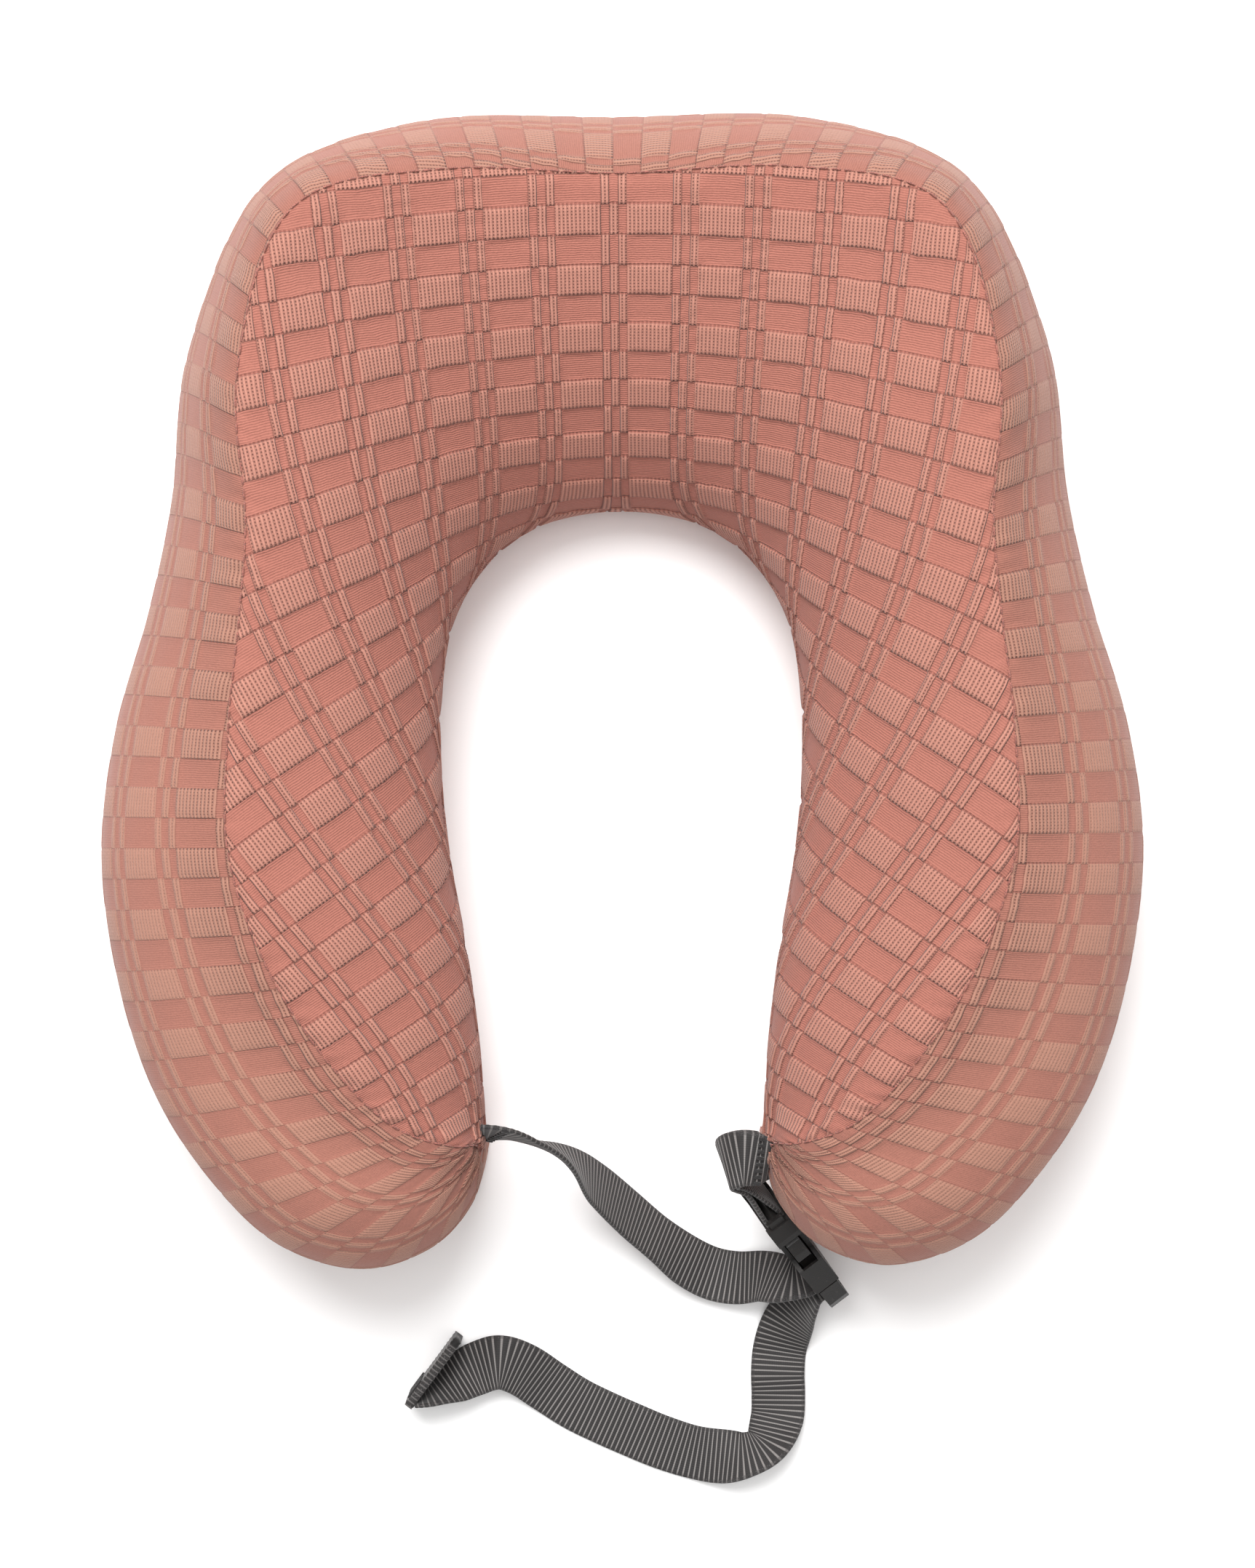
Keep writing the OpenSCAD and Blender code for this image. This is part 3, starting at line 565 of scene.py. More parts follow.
def plastic_material():
    """Moulded black acetal: a fine grain, softer shine where it is rubbed."""
    g = Graph("moulded_acetal")
    grain = g.noise(3200.0, 2.0)
    rub = g.noise(180.0, 4.0)
    scuff = g.step(0.62, 0.72, g.noise(700.0, 5.0))
    rough = g.math("ADD", g.math("MULTIPLY_ADD", rub, 0.18, 0.34), g.times(scuff, 0.12))
    colour = g.mix(scuff, srgb(27, 25, 24), srgb(46, 43, 42))
    return g.settle(Base_Color=colour, Roughness=rough, Normal=g.bump(grain, 0.00004),
                    Specular_IOR_Level=0.45)


def enamel_material():
    """Enamelled zip metal, worn paler at the high spots."""
    g = Graph("enamelled_metal")
    wear = g.step(0.58, 0.72, g.noise(420.0, 4.0))
    colour = g.mix(wear, srgb(190, 120, 108), srgb(214, 186, 176))
    rough = g.math("MULTIPLY_ADD", g.noise(250.0, 3.0), 0.2, 0.3)
    return g.settle(Base_Color=colour, Roughness=rough, Metallic=0.35, Normal=g.bump(wear, 0.00003))


def weave_material(name, colour, dark, pitch):
    """A plain woven or knitted cloth that needs no UV map: fine crossing lines."""
    g = Graph(name)
    split = g.node("ShaderNodeSeparateXYZ")
    g.link(g.place(), split.inputs[0])
    a = g.wave(split.outputs[0], pitch)
    b = g.wave(split.outputs[1], pitch)
    weave = g.times(g.math("ADD", a, b), 0.5)
    tone = g.noise(30.0, 4.0)
    shaded = g.mix(g.times(weave, g.math("MULTIPLY_ADD", tone, 0.5, 0.5)), dark, colour)
    return g.settle(Base_Color=shaded, Normal=g.bump(weave, pitch * 0.2), Roughness=0.9, Sheen_Weight=0.2)


def foam_material():
    """Memory foam: pale yellow with small open pores, with painted shade in the pores."""
    g = Graph("memory_foam")
    cells = g.node("ShaderNodeTexVoronoi", feature="DISTANCE_TO_EDGE")
    cells.inputs["Scale"].default_value = 900.0
    g.link(g.place(), cells.inputs["Vector"])
    pore = g.step(0.0, 0.25, cells.outputs["Distance"])
    # painted shade in the pores
    colour = g.mix(pore, srgb(196, 178, 128), srgb(240, 226, 182))
    return g.settle(Base_Color=colour, Normal=g.bump(pore, 0.0003), Roughness=0.95, Subsurface_Weight=0.05)


# ---------------------------------------------------------------- camera, light and floor
def look_from(location, target, up):
    """The rotation of a camera or lamp that looks from one point to another."""
    forward = (Vector(target) - Vector(location)).normalized()
    right = forward.cross(Vector(up)).normalized()
    true_up = right.cross(forward)
    return Matrix((right, true_up, -forward)).transposed().to_euler()


# Places and sizes in metres
CAMERA_AT = (0.0015, -0.0257, 1.0)
CAMERA_TO = (0.0015, -0.0243, 0.0)
CAMERA_ROLL = math.radians(0.45)
LENS = 81.9
SENSOR_HEIGHT = 36.0
FARTHEST = 20.0
WORLD_STRENGTH = 0.5
LIT_SPOT = (0, -0.02, 0.03)
FLOOR_HALF = 3.0


def make_camera():
    data = bpy.data.cameras.new("camera")
    data.lens = LENS
    data.sensor_fit = "VERTICAL"
    data.sensor_height = SENSOR_HEIGHT
    data.clip_end = FARTHEST
    camera = bpy.data.objects.new("camera", data)
    camera.location = CAMERA_AT
    up = (math.sin(CAMERA_ROLL), math.cos(CAMERA_ROLL), 0)
    camera.rotation_euler = look_from(CAMERA_AT, CAMERA_TO, up)
    bpy.context.scene.collection.objects.link(camera)
    bpy.context.scene.camera = camera


def area_light(name, location, size, power):
    data = bpy.data.lights.new(name, "AREA")
    data.shape = "DISK"
    data.size = size
    data.energy = power
    lamp = bpy.data.objects.new(name, data)
    lamp.location = location
    lamp.rotation_euler = look_from(location, LIT_SPOT, (0, 1, 0))
    bpy.context.scene.collection.objects.link(lamp)


def make_studio():
    scene = bpy.context.scene
    scene.view_settings.view_transform = "Standard"
    world = bpy.data.worlds.new("studio")
    scene.world = world
    world.use_nodes = True
    background = world.node_tree.nodes["Background"]
    background.inputs["Color"].default_value = (1.0, 0.99, 0.98, 1.0)
    background.inputs["Strength"].default_value = WORLD_STRENGTH
    area_light("key_light", (-0.22, 0.85, 1.5), 1.1, 38.0)
    area_light("fill_light", (0.1, 0.1, 1.9), 1.5, 16.0)
    mesh = bpy.data.meshes.new("floor")
    corners = [(x * FLOOR_HALF, y * FLOOR_HALF, 0) for x, y in ((-1, -1), (1, -1), (1, 1), (-1, 1))]
    mesh.from_pydata(corners, [], [(0, 1, 2, 3)])
    floor = bpy.data.objects.new("floor", mesh)
    scene.collection.objects.link(floor)
    g = Graph("floor_paper")
    tone = g.noise(2.0, 2.0)
    colour = g.mix(tone, srgb(250, 250, 250), srgb(254, 254, 254))
    floor.data.materials.append(g.settle(Base_Color=colour, Roughness=0.9, Specular_IOR_Level=0.1))


# ---------------------------------------------------------------- webbing
WEBBING_W = 15.0
WEBBING_T = 1.3
WEBBING_RIB = 1.36
WEBBING_EDGE_R = 0.5
FACE_POINTS = 15
BUCKLE_AT = np.array([36.6, -137.3, 33.0])
PITCH, TURN = math.radians(36), math.radians(53.13)
BUCKLE_X = np.array([math.cos(PITCH) * math.cos(TURN), -math.cos(PITCH) * math.sin(TURN), -math.sin(PITCH)])
BUCKLE_Y = np.array([math.sin(PITCH) * math.cos(TURN), -math.sin(PITCH) * math.sin(TURN), math.cos(PITCH)])
BUCKLE_Z = np.array([-math.sin(TURN), -math.cos(TURN), 0.0])

# A row of a route is a point on the webbing's middle line and the direction of its edge. Rows in the buckle
# have only the point, in the buckle's own axes.
ROUTE_TO_BUCKLE = [
    (-38.9, -117, 47.2, 0, 0.3, 0.95),
    (-34, -117.6, 46.6, 0.1, 0.3, 0.95),
    (-27, -119.8, 42.5, 0.1, 0.15, 0.97),
    (-18, -124.6, 34.5, 0, 0, 1),
    (-8, -134, 21.5, -0.35, -0.35, 0.85),
    (2, -144.2, 12, -0.45, -0.5, 0.74),
    (10, -151.6, 7.8, -0.42, -0.6, 0.68),
    (17, -157.4, 4.8, -0.4, -0.8, 0.45),
    (24, -161.2, 3, -0.2, -0.93, 0.3),
    (31, -162.3, 4.6, 0, -0.93, 0.35),
    (38, -161.4, 8.4, 0.12, -0.8, 0.6),
    (44.4, -161.9, 13, 0.25, -0.6, 0.76),
]
ROUTE_IN_BUCKLE = [
    (32.9, 0, 4.5), (32.9, 0, 1.5), (32.95, 0, -0.9), (33.6, 0, -2.2), (35, 0, -2.5),
    (36.4, 0, -2.2), (37.05, 0, -0.9), (37.1, 0, 1.5), (37.1, 0, 4.5),
]
ROUTE_TAIL = [
    (49.2, -167.3, 9.6, 0.5, -0.4, 0.77),
    (47, -171.5, 6.6, 0.7, -0.25, 0.6),
    (44.5, -176.8, 3.4, 0.92, -0.1, 0.3),
    (42.8, -183, 1.1, 1, 0, 0),
    (42.2, -189.2, 2.4, 1, 0, 0),
    (42.3, -195.5, 2.2, 1, -0.05, 0.05),
    (41.8, -202, 3.2, 0.9, -0.2, 0.25),
    (38.8, -208.4, 6.2, 0.55, -0.4, 0.7),
    (32.5, -211.6, 6.2, 0.25, -0.65, 0.7),
    (25, -212.2, 3.2, 0.1, -0.95, 0.25),
    (17.5, -211.2, 1, 0, -1, 0),
    (9, -208.4, 0.8, -0.3, -0.95, 0),
    (1, -205, 0.8, -0.4, -0.92, 0),
    (-7, -201.4, 0.8, -0.45, -0.9, 0),
    (-14.5, -197.6, 0.8, -0.5, -0.86, 0),
    (-22, -192.6, 1.6, -0.5, -0.85, 0),
    (-29, -187.4, 5, -0.45, -0.88, 0.05),
    (-35.5, -185, 7, -0.2, -0.95, 0.1),
    (-42, -187, 5.4, 0.2, -0.9, 0.3),
    (-48, -190.2, 6, 0.25, -0.7, 0.65),
    (-54, -193.6, 7.4, 0.1, -0.3, 0.95),
    (-59.2, -195.8, 7.9, 0, 0, 1),
]
ROUTE_HEM = [
    (-60.4, -195.8, 7.9, 0, 0, 1),
    (-53.6, -186.8, 7.9, 0, 0, 1),
    (-46.8, -177.8, 7.9, 0, 0, 1),
]
ROUTE_LOOP = [
    (38.5, -124.4, 50.4, 0, -0.76, -0.65),
    (35.8, -124.4, 50.4, 0.08, -0.93, -0.35),
    (31, -124.2, 50.8, 0.15, -0.98, -0.05),
    (27.8, -125.6, 48, 0.22, -0.92, 0.3),
    (28.2, -127.6, 43.4, 0.3, -0.75, 0.6),
    (31.6, -131.2, 38.8, 0.34, -0.55, 0.76),
]
LOOP_GAP = 0.85
BAR_R = 1.5
BAR_CLEARANCE = 0.3


def on_buckle(p):
    return BUCKLE_AT + BUCKLE_X * p[0] + BUCKLE_Y * p[1] + BUCKLE_Z * p[2]


def strap_rows():
    inside = [(*on_buckle(p), *BUCKLE_Y) for p in ROUTE_IN_BUCKLE]
    return np.array(ROUTE_TO_BUCKLE + inside + ROUTE_TAIL, dtype=float)


def spline_rows(rows, step):
    """Rows on a smooth curve through the given ones, about step millimetres apart."""
    rows = np.asarray(rows, dtype=float)
    padded = np.concatenate([rows[:1], rows, rows[-1:]])
    made = []
    for k in range(len(rows) - 1):
        a, b, c, d = padded[k:k + 4]
        count = max(2, int(math.ceil(np.linalg.norm((c - b)[:3]) / step)))
        for t in np.arange(count) / count:
            made.append(curve_through(a, b, c, d, t))
    made.append(rows[-1])
    return np.array(made)


def ribbon_frames(rows):
    """Each row's point, its direction, its edge direction and its face direction."""
    points = rows[:, :3]
    along = unit(np.gradient(points, axis=0))
    edge = rows[:, 3:6]
    edge = unit(edge - along * (edge * along).sum(axis=1, keepdims=True))
    face = np.cross(along, edge)
    return points, along, edge, face


def ribbon_grid(rows, thick, start=0.0, step=0.34, rib=0.16, width=WEBBING_W):
    """The surface of webbing along a route, as rings of points, their UVs and the run along it. It has a rib
    across it every WEBBING_RIB and a rounded edge."""
    fine = spline_rows(rows, step)
    points, along, edge, face = ribbon_frames(fine)
    run = start + run_along(points)
    edge_x = width / 2 - WEBBING_EDGE_R
    flat = np.linspace(-edge_x, edge_x, FACE_POINTS)
    face_z = np.ones(FACE_POINTS)
    turn = np.linspace(-math.pi / 2, math.pi / 2, 5)[1:-1]
    round_x = edge_x + WEBBING_EDGE_R * np.cos(turn)
    x = np.concatenate([flat, round_x, flat[::-1], -round_x])
    z = np.concatenate([-face_z, np.sin(turn), face_z, -np.sin(turn)]) * 0.5
    valley = 0.5 + 0.5 * np.cos(2 * math.pi * run / WEBBING_RIB)
    height = z[None, :] * (thick - 2 * rib * valley[:, None] * (np.abs(z[None, :]) > 0.4))
    grid = points[:, None, :] + x[None, :, None] * edge[:, None, :] + height[..., None] * face[:, None, :]
    uv = np.stack(np.broadcast_arrays(x[None, :], run[:, None]), axis=-1)
    return grid * MM, uv, run[-1]


def ribbon_object(name, parts, material):
    """A mesh of one or more ribbons, each closed flat at both ends."""
    vertices, uvs, faces = [], [], []
    for grid, uv, _ in parts:
        n, m = grid.shape[:2]
        first = sum(len(v) for v in vertices)
        for i in range(n - 1):
            for j in range(m):
                k = (j + 1) % m
                faces.append((first + i * m + j, first + (i + 1) * m + j, first + (i + 1) * m + k,
                              first + i * m + k))
        faces.append(tuple(first + j for j in range(m)))
        faces.append(tuple(first + (n - 1) * m + j for j in range(m - 1, -1, -1)))
        vertices.append(grid.reshape(-1, 3))
        uvs.append(uv.reshape(-1, 2))
    mesh = bpy.data.meshes.new(name)
    mesh.from_pydata(np.concatenate(vertices).tolist(), [], faces)
    loops = np.zeros(len(mesh.loops), dtype=int)
    mesh.loops.foreach_get("vertex_index", loops)
    layer = mesh.uv_layers.new(name="knit")
    layer.data.foreach_set("uv", np.concatenate(uvs)[loops].reshape(-1))
    mesh.polygons.foreach_set("use_smooth", np.ones(len(mesh.polygons), bool))
    mesh.validate()
    mesh.materials.append(material)
    obj = bpy.data.objects.new(name, mesh)
    bpy.context.scene.collection.objects.link(obj)
    return obj


def make_strap():
    """Makes the strap and its folded end as one piece. Gives the webbing's material, the piece, and the line
    down its middle and its length in metres."""
    rows = strap_rows()
    tail = ribbon_grid(rows, WEBBING_T)
    hem = ribbon_grid(ROUTE_HEM, 2 * WEBBING_T, start=tail[2])
    material = webbing_material(hem[2])
    strap = ribbon_object("webbing_strap", [tail, hem], material)
    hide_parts("strap_webbing")
    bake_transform(strap)
    path = np.concatenate([spline_rows(rows, 2.0)[:, :3], spline_rows(ROUTE_HEM, 2.0)[:, :3]]) * MM
    length = np.linalg.norm(np.diff(path, axis=0), axis=1).sum()
    return material, strap, path, length


def loop_side(rows, off):
    points, along, edge, face = ribbon_frames(np.array(rows, dtype=float))
    return np.concatenate([points + face * off, edge], axis=1)


def make_loop(material):
    """The short loop from the right arm round the buckle's bar and back, its two layers LOOP_GAP apart from
    their middle line."""
    wrap = BAR_R + BAR_CLEARANCE + WEBBING_T / 2
    round_bar = []
    for angle in range(-75, 76, 30):
        turn = math.radians(angle)
        at = on_buckle((BAR_R + wrap * math.cos(turn), 0, -wrap * math.sin(turn)))
        round_bar.append((*at, *BUCKLE_Y))
    upper, lower = loop_side(ROUTE_LOOP, LOOP_GAP), loop_side(ROUTE_LOOP, -LOOP_GAP)
    route = ribbon_grid(np.concatenate([upper, round_bar, lower[::-1]]), WEBBING_T)
    loop = ribbon_object("webbing_loop", [route], material)
    declare(loop, "strap_loop")


# ---------------------------------------------------------------- cover
SEAM_DEPTH = 0.9
FOOT_SEAM_DEPTH = 0.6
SHARED_REACH = 2.5
# The pattern and puckers fade out where the limb is narrower than this, and stitches stop at the other width
TIP_WIDTH = 14.0
SEWN_WIDTH = 12


def shared_edges(normals, other, mine, theirs, share):
    """Turns a panel's normals near one edge towards the direction between its own and the other panel's."""
    between = unit(normals[:, mine] + other[:, theirs])
    return unit(normals * (1 - share[..., None]) + between[:, None, :] * share[..., None])


def seam_relief(distance, along, depth, seed):
    """How far the knit is drawn in beside a seam: a soft valley with small puckers along it."""
    pull = np.exp(-(distance / 2.2) ** 1.2)
    fade = np.exp(-(distance / 5.5) ** 1.5)
    pucker = (np.sin(along * 2 * math.pi / 6.3 + 1.3 * np.sin(along * 0.21 + seed))
              + 0.6 * np.sin(along * 2 * math.pi / 3.7 + seed + 1.7 * np.sin(along * 0.33)))
    return -depth * pull + 0.22 * pucker * fade


def cover_size():
    """Stations along the cover, and points across the top panel and across the side panel."""
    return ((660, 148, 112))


def repeated_ends(values):
    return np.concatenate([values[:1], values, values[-1:]])


def closed_tips(points, cut):
    """The grid with one more column at each arm's tip, drawn in to the middle of the cut, so that the top and
    side panels meet there."""
    closed = repeated_ends(points)
    for end in (0, -1):
        closed[end, :, :2] = 0.5 * (cut.inner[end] + cut.outer[end]) * MM
    return closed


def middle_run(line):
    """The distance along a line of points, counted from its middle one."""
    run = run_along(line)
    return run - run[len(run) // 2]


def knit_panel(name, cut, surface, normals, height, uv, relief, material):
    """One panel of the cover: its plain surface raised along the normals by height."""
    points = surface + normals * (height * MM)[..., None]
    panel = grid_mesh(name, closed_tips(points, cut), uv=repeated_ends(uv),
                      attributes={"relief": repeated_ends(relief)}, flip=True)
    panel.data.materials.append(material)
    return panel


def make_cover(top_material, side_material):
    """The two sewn panels of the cover: the top one from the neck opening's foot to the top seam, and the
    side one from there to the outer foot. The pattern stands out, and the knit is drawn in at the seams.
    Gives the cut, and the top, outer and inner seams as a line and its normals each."""
    columns, top_rows, side_rows = cover_size()
    cut = Cut(stations(columns))
    top_even, top_lengths = cut.evenly(0, 1, top_rows)
    side_even, side_lengths = cut.evenly(2, 3, side_rows)
    top = smooth_along(cut.in_space(top_even), 3)
    side = smooth_along(cut.in_space(side_even), 3)
    own_top, own_side = grid_normals(top), grid_normals(side)
    narrow = smoothstep(0.0, TIP_WIDTH, cut.width)[:, None]
    seam_run = middle_run(top[:, -1] / MM)[:, None]

    share = np.linspace(0, 1, top_rows)[None, :]
    to_seam, to_foot = top_lengths[:, None] * (1 - share), top_lengths[:, None] * share
    uv = knit_plan(top, cut) + np.array([TRIO_MIDDLE, 0.0])
    normals = shared_edges(own_top, own_side, -1, 0, np.exp(-(to_seam / SHARED_REACH) ** 2))
    height = RELIEF * block_height(uv[..., 0], uv[..., 1])
    height = height * smoothstep(0.5, 4, to_seam) * smoothstep(0, 3, to_foot)
    height = height + seam_relief(to_seam, seam_run, SEAM_DEPTH, 0.4) * narrow
    height = height + seam_relief(to_foot, seam_run, FOOT_SEAM_DEPTH, 2.1) * narrow
    # relief sets the strength of the knit's painted shade as well as of its bump
    relief = np.ones_like(to_seam) * narrow
    panel = knit_panel("knit_top_panel", cut, top, normals, height, uv, relief, top_material)
    declare(panel, "cover_top")

    share = np.linspace(0, 1, side_rows)[None, :]
    from_seam, to_foot = side_lengths[:, None] * share, side_lengths[:, None] * (1 - share)
    upper = np.linalg.norm(np.diff(cut.line(2, 2), axis=1), axis=2).sum(axis=1)
    limb = np.concatenate([cut.outer, key_curve(OUTER_Z, cut.s)[:, None]], axis=1)
    limb_run = middle_run(limb)
    uv = np.stack(np.broadcast_arrays(from_seam - upper[:, None], limb_run[:, None]), axis=-1)
    normals = shared_edges(own_side, own_top, 0, -1, np.exp(-(from_seam / SHARED_REACH) ** 2))
    calm = 1 - 0.45 * smoothstep(6, 26, from_seam)
    height = 0.8 * RELIEF * calm * block_height(uv[..., 0], uv[..., 1])
    height = height * smoothstep(0.5, 4, from_seam) * smoothstep(0, 3, to_foot)
    height = height + seam_relief(from_seam, seam_run, SEAM_DEPTH, 0.4) * narrow
    height = height + seam_relief(to_foot, seam_run, FOOT_SEAM_DEPTH, 1.1) * narrow
    # relief sets the strength of the knit's painted shade and bump, both weaker down the side away from the
    # seam
    relief = (1 - 0.6 * smoothstep(4, 24, from_seam)) * narrow
    panel = knit_panel("knit_side_panel", cut, side, normals, height, uv, relief, side_material)
    declare(panel, "cover_side")

    seams = [(top[:, -1], unit(own_top[:, -1] + own_side[:, 0])), (side[:, -1], own_side[:, -1]),
             (top[:, 0], own_top[:, 0])]
    sewn = cut.width > SEWN_WIDTH
    return cut, [(line[sewn] / MM, normal[sewn]) for line, normal in seams]


# ---------------------------------------------------------------- seams, base, liner and foam
STITCH_PITCH = 3.3
STITCH_LENGTH = 2.5
STITCH_R = 0.24
# Along a stitch, from -0.5 to 0.5 of its length, and its thickness there
STITCH_PROFILE = np.array([(-0.5, 0.35), (-0.46, 0.75), (-0.3, 1), (0, 1.05), (0.3, 1), (0.46, 0.75),
                           (0.5, 0.35)])
STITCH_ARCH = 0.12


def stitch_row(line, normals, sunk):
    """Rings of points for one stitch after another along a line, each sunk that far into the knit."""
    run = run_along(line)
    middles = np.arange(STITCH_PITCH, run[-1] - STITCH_PITCH, STITCH_PITCH)
    profile = STITCH_PROFILE
    turn = np.arange(8) * math.pi / 4
    parts = []
    for middle in middles:
        at = np.clip(middle + profile[:, 0] * STITCH_LENGTH, 0, run[-1])
        centre = np.stack([np.interp(at, run, line[:, k]) for k in range(3)], axis=1)
        up = unit(np.array([np.interp(middle, run, normals[:, k]) for k in range(3)]))
        along = unit(centre[-1] - centre[0])
        side = np.cross(along, up)
        arch = 1 - (2 * profile[:, 0]) ** 2
        centre = centre + up * (STITCH_ARCH * arch[:, None] - sunk)
        ring = np.cos(turn)[:, None] * side + np.sin(turn)[:, None] * up
        grid = centre[:, None, :] + STITCH_R * profile[:, 1, None, None] * ring[None]
        parts.append((grid * MM, np.zeros((len(profile), len(turn), 2)), 0))
    return parts


def make_stitches(name, node, rows, material):
    stitches = outward_faces(ribbon_object(name, rows, material))
    declare(stitches, node)


# The edges of the zip's slot in the base, and the thicknesses of the base knit and the liner, in metres
SLOT_FRONT, SLOT_REAR = 0.090, 0.102
BASE_THICKNESS = 0.0011
LINER_THICKNESS = 0.0004
# The inner layers are squeezed upwards below this height
LIFT_BELOW = 30.0
# How far the liner and the foam lie inside the cover, and how high their bases are
LINER_DEPTH, LINER_FLOOR = 2.1, 3.9
FOAM_DEPTH, FOAM_FLOOR = 3.1, 4.9


def make_base(cut, material):
    """The two knit panels of the base, either side of the zip's slot, their rims rolled up to the seam."""
    share = np.linspace(0, 1, 40)[None, :, None]
    plan = cut.in_space(np.stack([cut.curves[0][0], cut.curves[3][3]], axis=1))
    first, last = plan[:, :1, :], plan[:, 1:, :]
    grid = first * (1 - share) + last * share
    width = np.linalg.norm(last - first, axis=-1) / MM
    rim = np.minimum(share[..., 0], 1 - share[..., 0]) * width
    grid[..., 2] = (RIM_Z - (RIM_Z - 0.02) * smoothstep(0.0, 2.5, rim)) * MM
    for name, node, edge, side in (("knit_base_front", "cover_base_front", SLOT_FRONT, -1.0),
                                   ("knit_base_rear", "cover_base_rear", SLOT_REAR, 1.0)):
        panel = grid_mesh(name, grid)
        work = bmesh.new()
        work.from_mesh(panel.data)
        bmesh.ops.bisect_plane(work, geom=list(work.verts) + list(work.edges) + list(work.faces),
                               plane_co=(0, edge, 0), plane_no=(0, side, 0), clear_inner=True)
        work.to_mesh(panel.data)
        work.free()
        thicken(panel, BASE_THICKNESS)
        panel.data.materials.append(material)
        declare(panel, node)


def inner_grid(depth, floor_z, columns, rows):
    """The pillow's surface set in by depth and lifted off the base, in metres."""
    cut = Cut(stations(columns, start=3.0))
    even, _ = cut.evenly(0, 3, rows)
    grid = cut.in_space(even)
    grid = grid - grid_normals(grid) * depth * MM
    low = LIFT_BELOW * MM
    rise = (grid[..., 2] - RIM_Z * MM) / (low - RIM_Z * MM)
    lifted = floor_z * MM + np.maximum(rise, 0) * (low - floor_z * MM)
    grid[..., 2] = np.where(grid[..., 2] < low, lifted, grid[..., 2])
    return grid


def make_filling(liner_material, core_material):
    """The stretch liner round the foam, its base, and the foam core."""
    columns, rows = 220, 90
    grid = inner_grid(LINER_DEPTH, LINER_FLOOR, columns, rows)
    wrinkle = np.sin(np.arange(columns) * 0.55)[:, None] * np.sin(np.linspace(0, math.pi, rows) * 5)[None, :]
    liner = grid_mesh("liner_sleeve", grid + grid_normals(grid) * (0.12 * MM * wrinkle)[..., None], flip=True)
    share = np.linspace(0, 1, 30)[None, :, None]
    base = grid_mesh("liner_base", grid[:, :1] * (1 - share) + grid[:, -1:] * share)
    for piece, node in ((liner, "foam_liner"), (base, "foam_liner_base")):
        thicken(piece, LINER_THICKNESS)
        piece.data.materials.append(liner_material)
        declare(piece, node)
    rings = inner_grid(FOAM_DEPTH, FOAM_FLOOR, 200, 84)
    share = np.linspace(0, 1, 16)[None, 1:-1, None]
    floor = rings[:, -1:] * (1 - share) + rings[:, :1] * share
    rings = np.concatenate([rings, floor], axis=1)
    core = ribbon_object("foam_block", [(rings, np.zeros(rings.shape[:2] + (2,)), 0)], core_material)
    outward_faces(core)
    declare(core, "foam_core")


TAPE_W = 11.0
TAPE_T = 0.5
TAPE_Z = 1.75


def make_tapes(material):
    """The zip's two woven tapes."""
    for name, node, middle_y in (("zip_tape_front_woven", "zip_tape_front", 89.0),
                                 ("zip_tape_rear_woven", "zip_tape_rear", 103.0)):
        rows = [(x, middle_y, TAPE_Z, 0, 1, 0) for x in (-88, -44, 0, 44, 88)]
        surface = ribbon_grid(rows, TAPE_T, rib=0.04, width=TAPE_W)
        tape = outward_faces(ribbon_object(name, [surface], material))
        declare(tape, node)


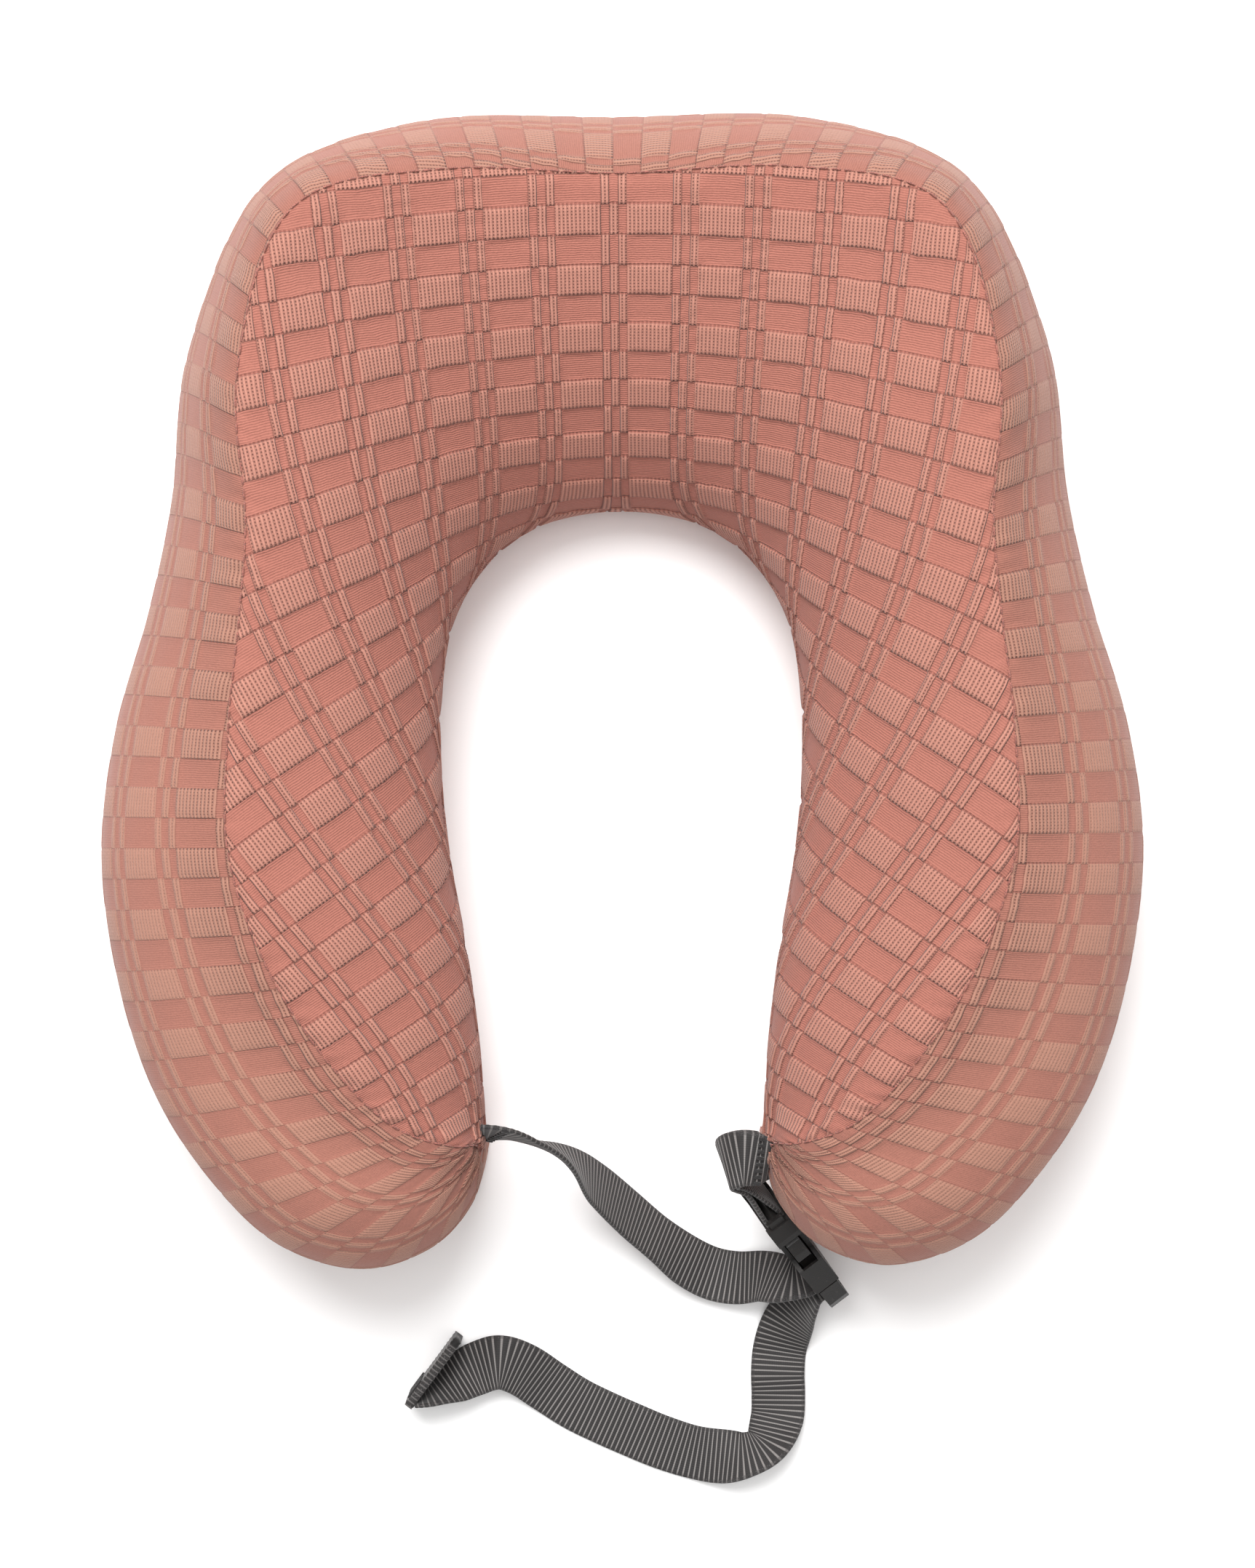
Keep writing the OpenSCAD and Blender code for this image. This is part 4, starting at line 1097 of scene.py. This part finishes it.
# ---------------------------------------------------------------- CAD nodes that stay
def finish_node(name, material, bevel=None):
    """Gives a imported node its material, and rounds its sharp edges."""
    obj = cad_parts[name]
    obj.data.materials.clear()
    obj.data.materials.append(material)
    if bevel:
        planar = obj.modifiers.new("planar", "DECIMATE")
        planar.decimate_type = "DISSOLVE"
        planar.angle_limit = math.radians(2)
        rounded = obj.modifiers.new("rounded", "BEVEL")
        rounded.width = bevel * MM
        rounded.segments = 3
        rounded.limit_method = "ANGLE"
        rounded.angle_limit = math.radians(35)
        rounded.harden_normals = True
        for polygon in obj.data.polygons:
            polygon.use_smooth = True
    return obj


make_camera()
make_studio()

knit_top = knit_material("knit_top", srgb(178, 125, 110), srgb(165, 107, 94), srgb(88, 44, 38), 0.00022)
# The side panel's knit is the top's knit painted darker: painted shade for the sides, which face away from
# the light overhead.
knit_side = knit_material("knit_side", srgb(163, 119, 103), srgb(154, 103, 90), srgb(92, 50, 43), 0.00018)
pink_thread = thread_material("pink_thread", srgb(160, 98, 86))
grey_thread = thread_material("grey_thread", srgb(34, 32, 32))
acetal = plastic_material()
enamel = enamel_material()
plain_knit = weave_material("plain_knit", srgb(198, 146, 132), srgb(160, 106, 94), 0.0009)
zip_tape = weave_material("zip_tape_weave", srgb(190, 132, 120), srgb(150, 94, 84), 0.0006)
liner_mesh = weave_material("liner_mesh", srgb(240, 238, 234), srgb(200, 198, 192), 0.0011)
foam = foam_material()

webbing, strap, strap_path, strap_length = make_strap()
make_loop(webbing)
cover_cut, (top_seam, outer_seam, inner_seam) = make_cover(knit_top, knit_side)
make_stitches("top_seam_stitches", "top_seam_thread", stitch_row(*top_seam, sunk=0.62), pink_thread)
make_stitches("base_seam_stitches", "base_seam_thread",
              stitch_row(*outer_seam, sunk=0.4) + stitch_row(*inner_seam, sunk=0.4), pink_thread)
make_base(cover_cut, plain_knit)
make_filling(liner_mesh, foam)
make_tapes(zip_tape)

for node in ("buckle_female", "buckle_male", "latch_arm_upper", "latch_arm_lower"):
    finish_node(node, acetal, bevel=0.45)
for node in ("strap_hem_stitch", "strap_bartack", "loop_bartack"):
    finish_node(node, grey_thread, bevel=0.12)
for node in ("zip_stops", "zip_slider", "zip_pull"):
    finish_node(node, enamel, bevel=0.15)
for node in ("zip_teeth_front", "zip_teeth_rear"):
    finish_node(node, enamel)
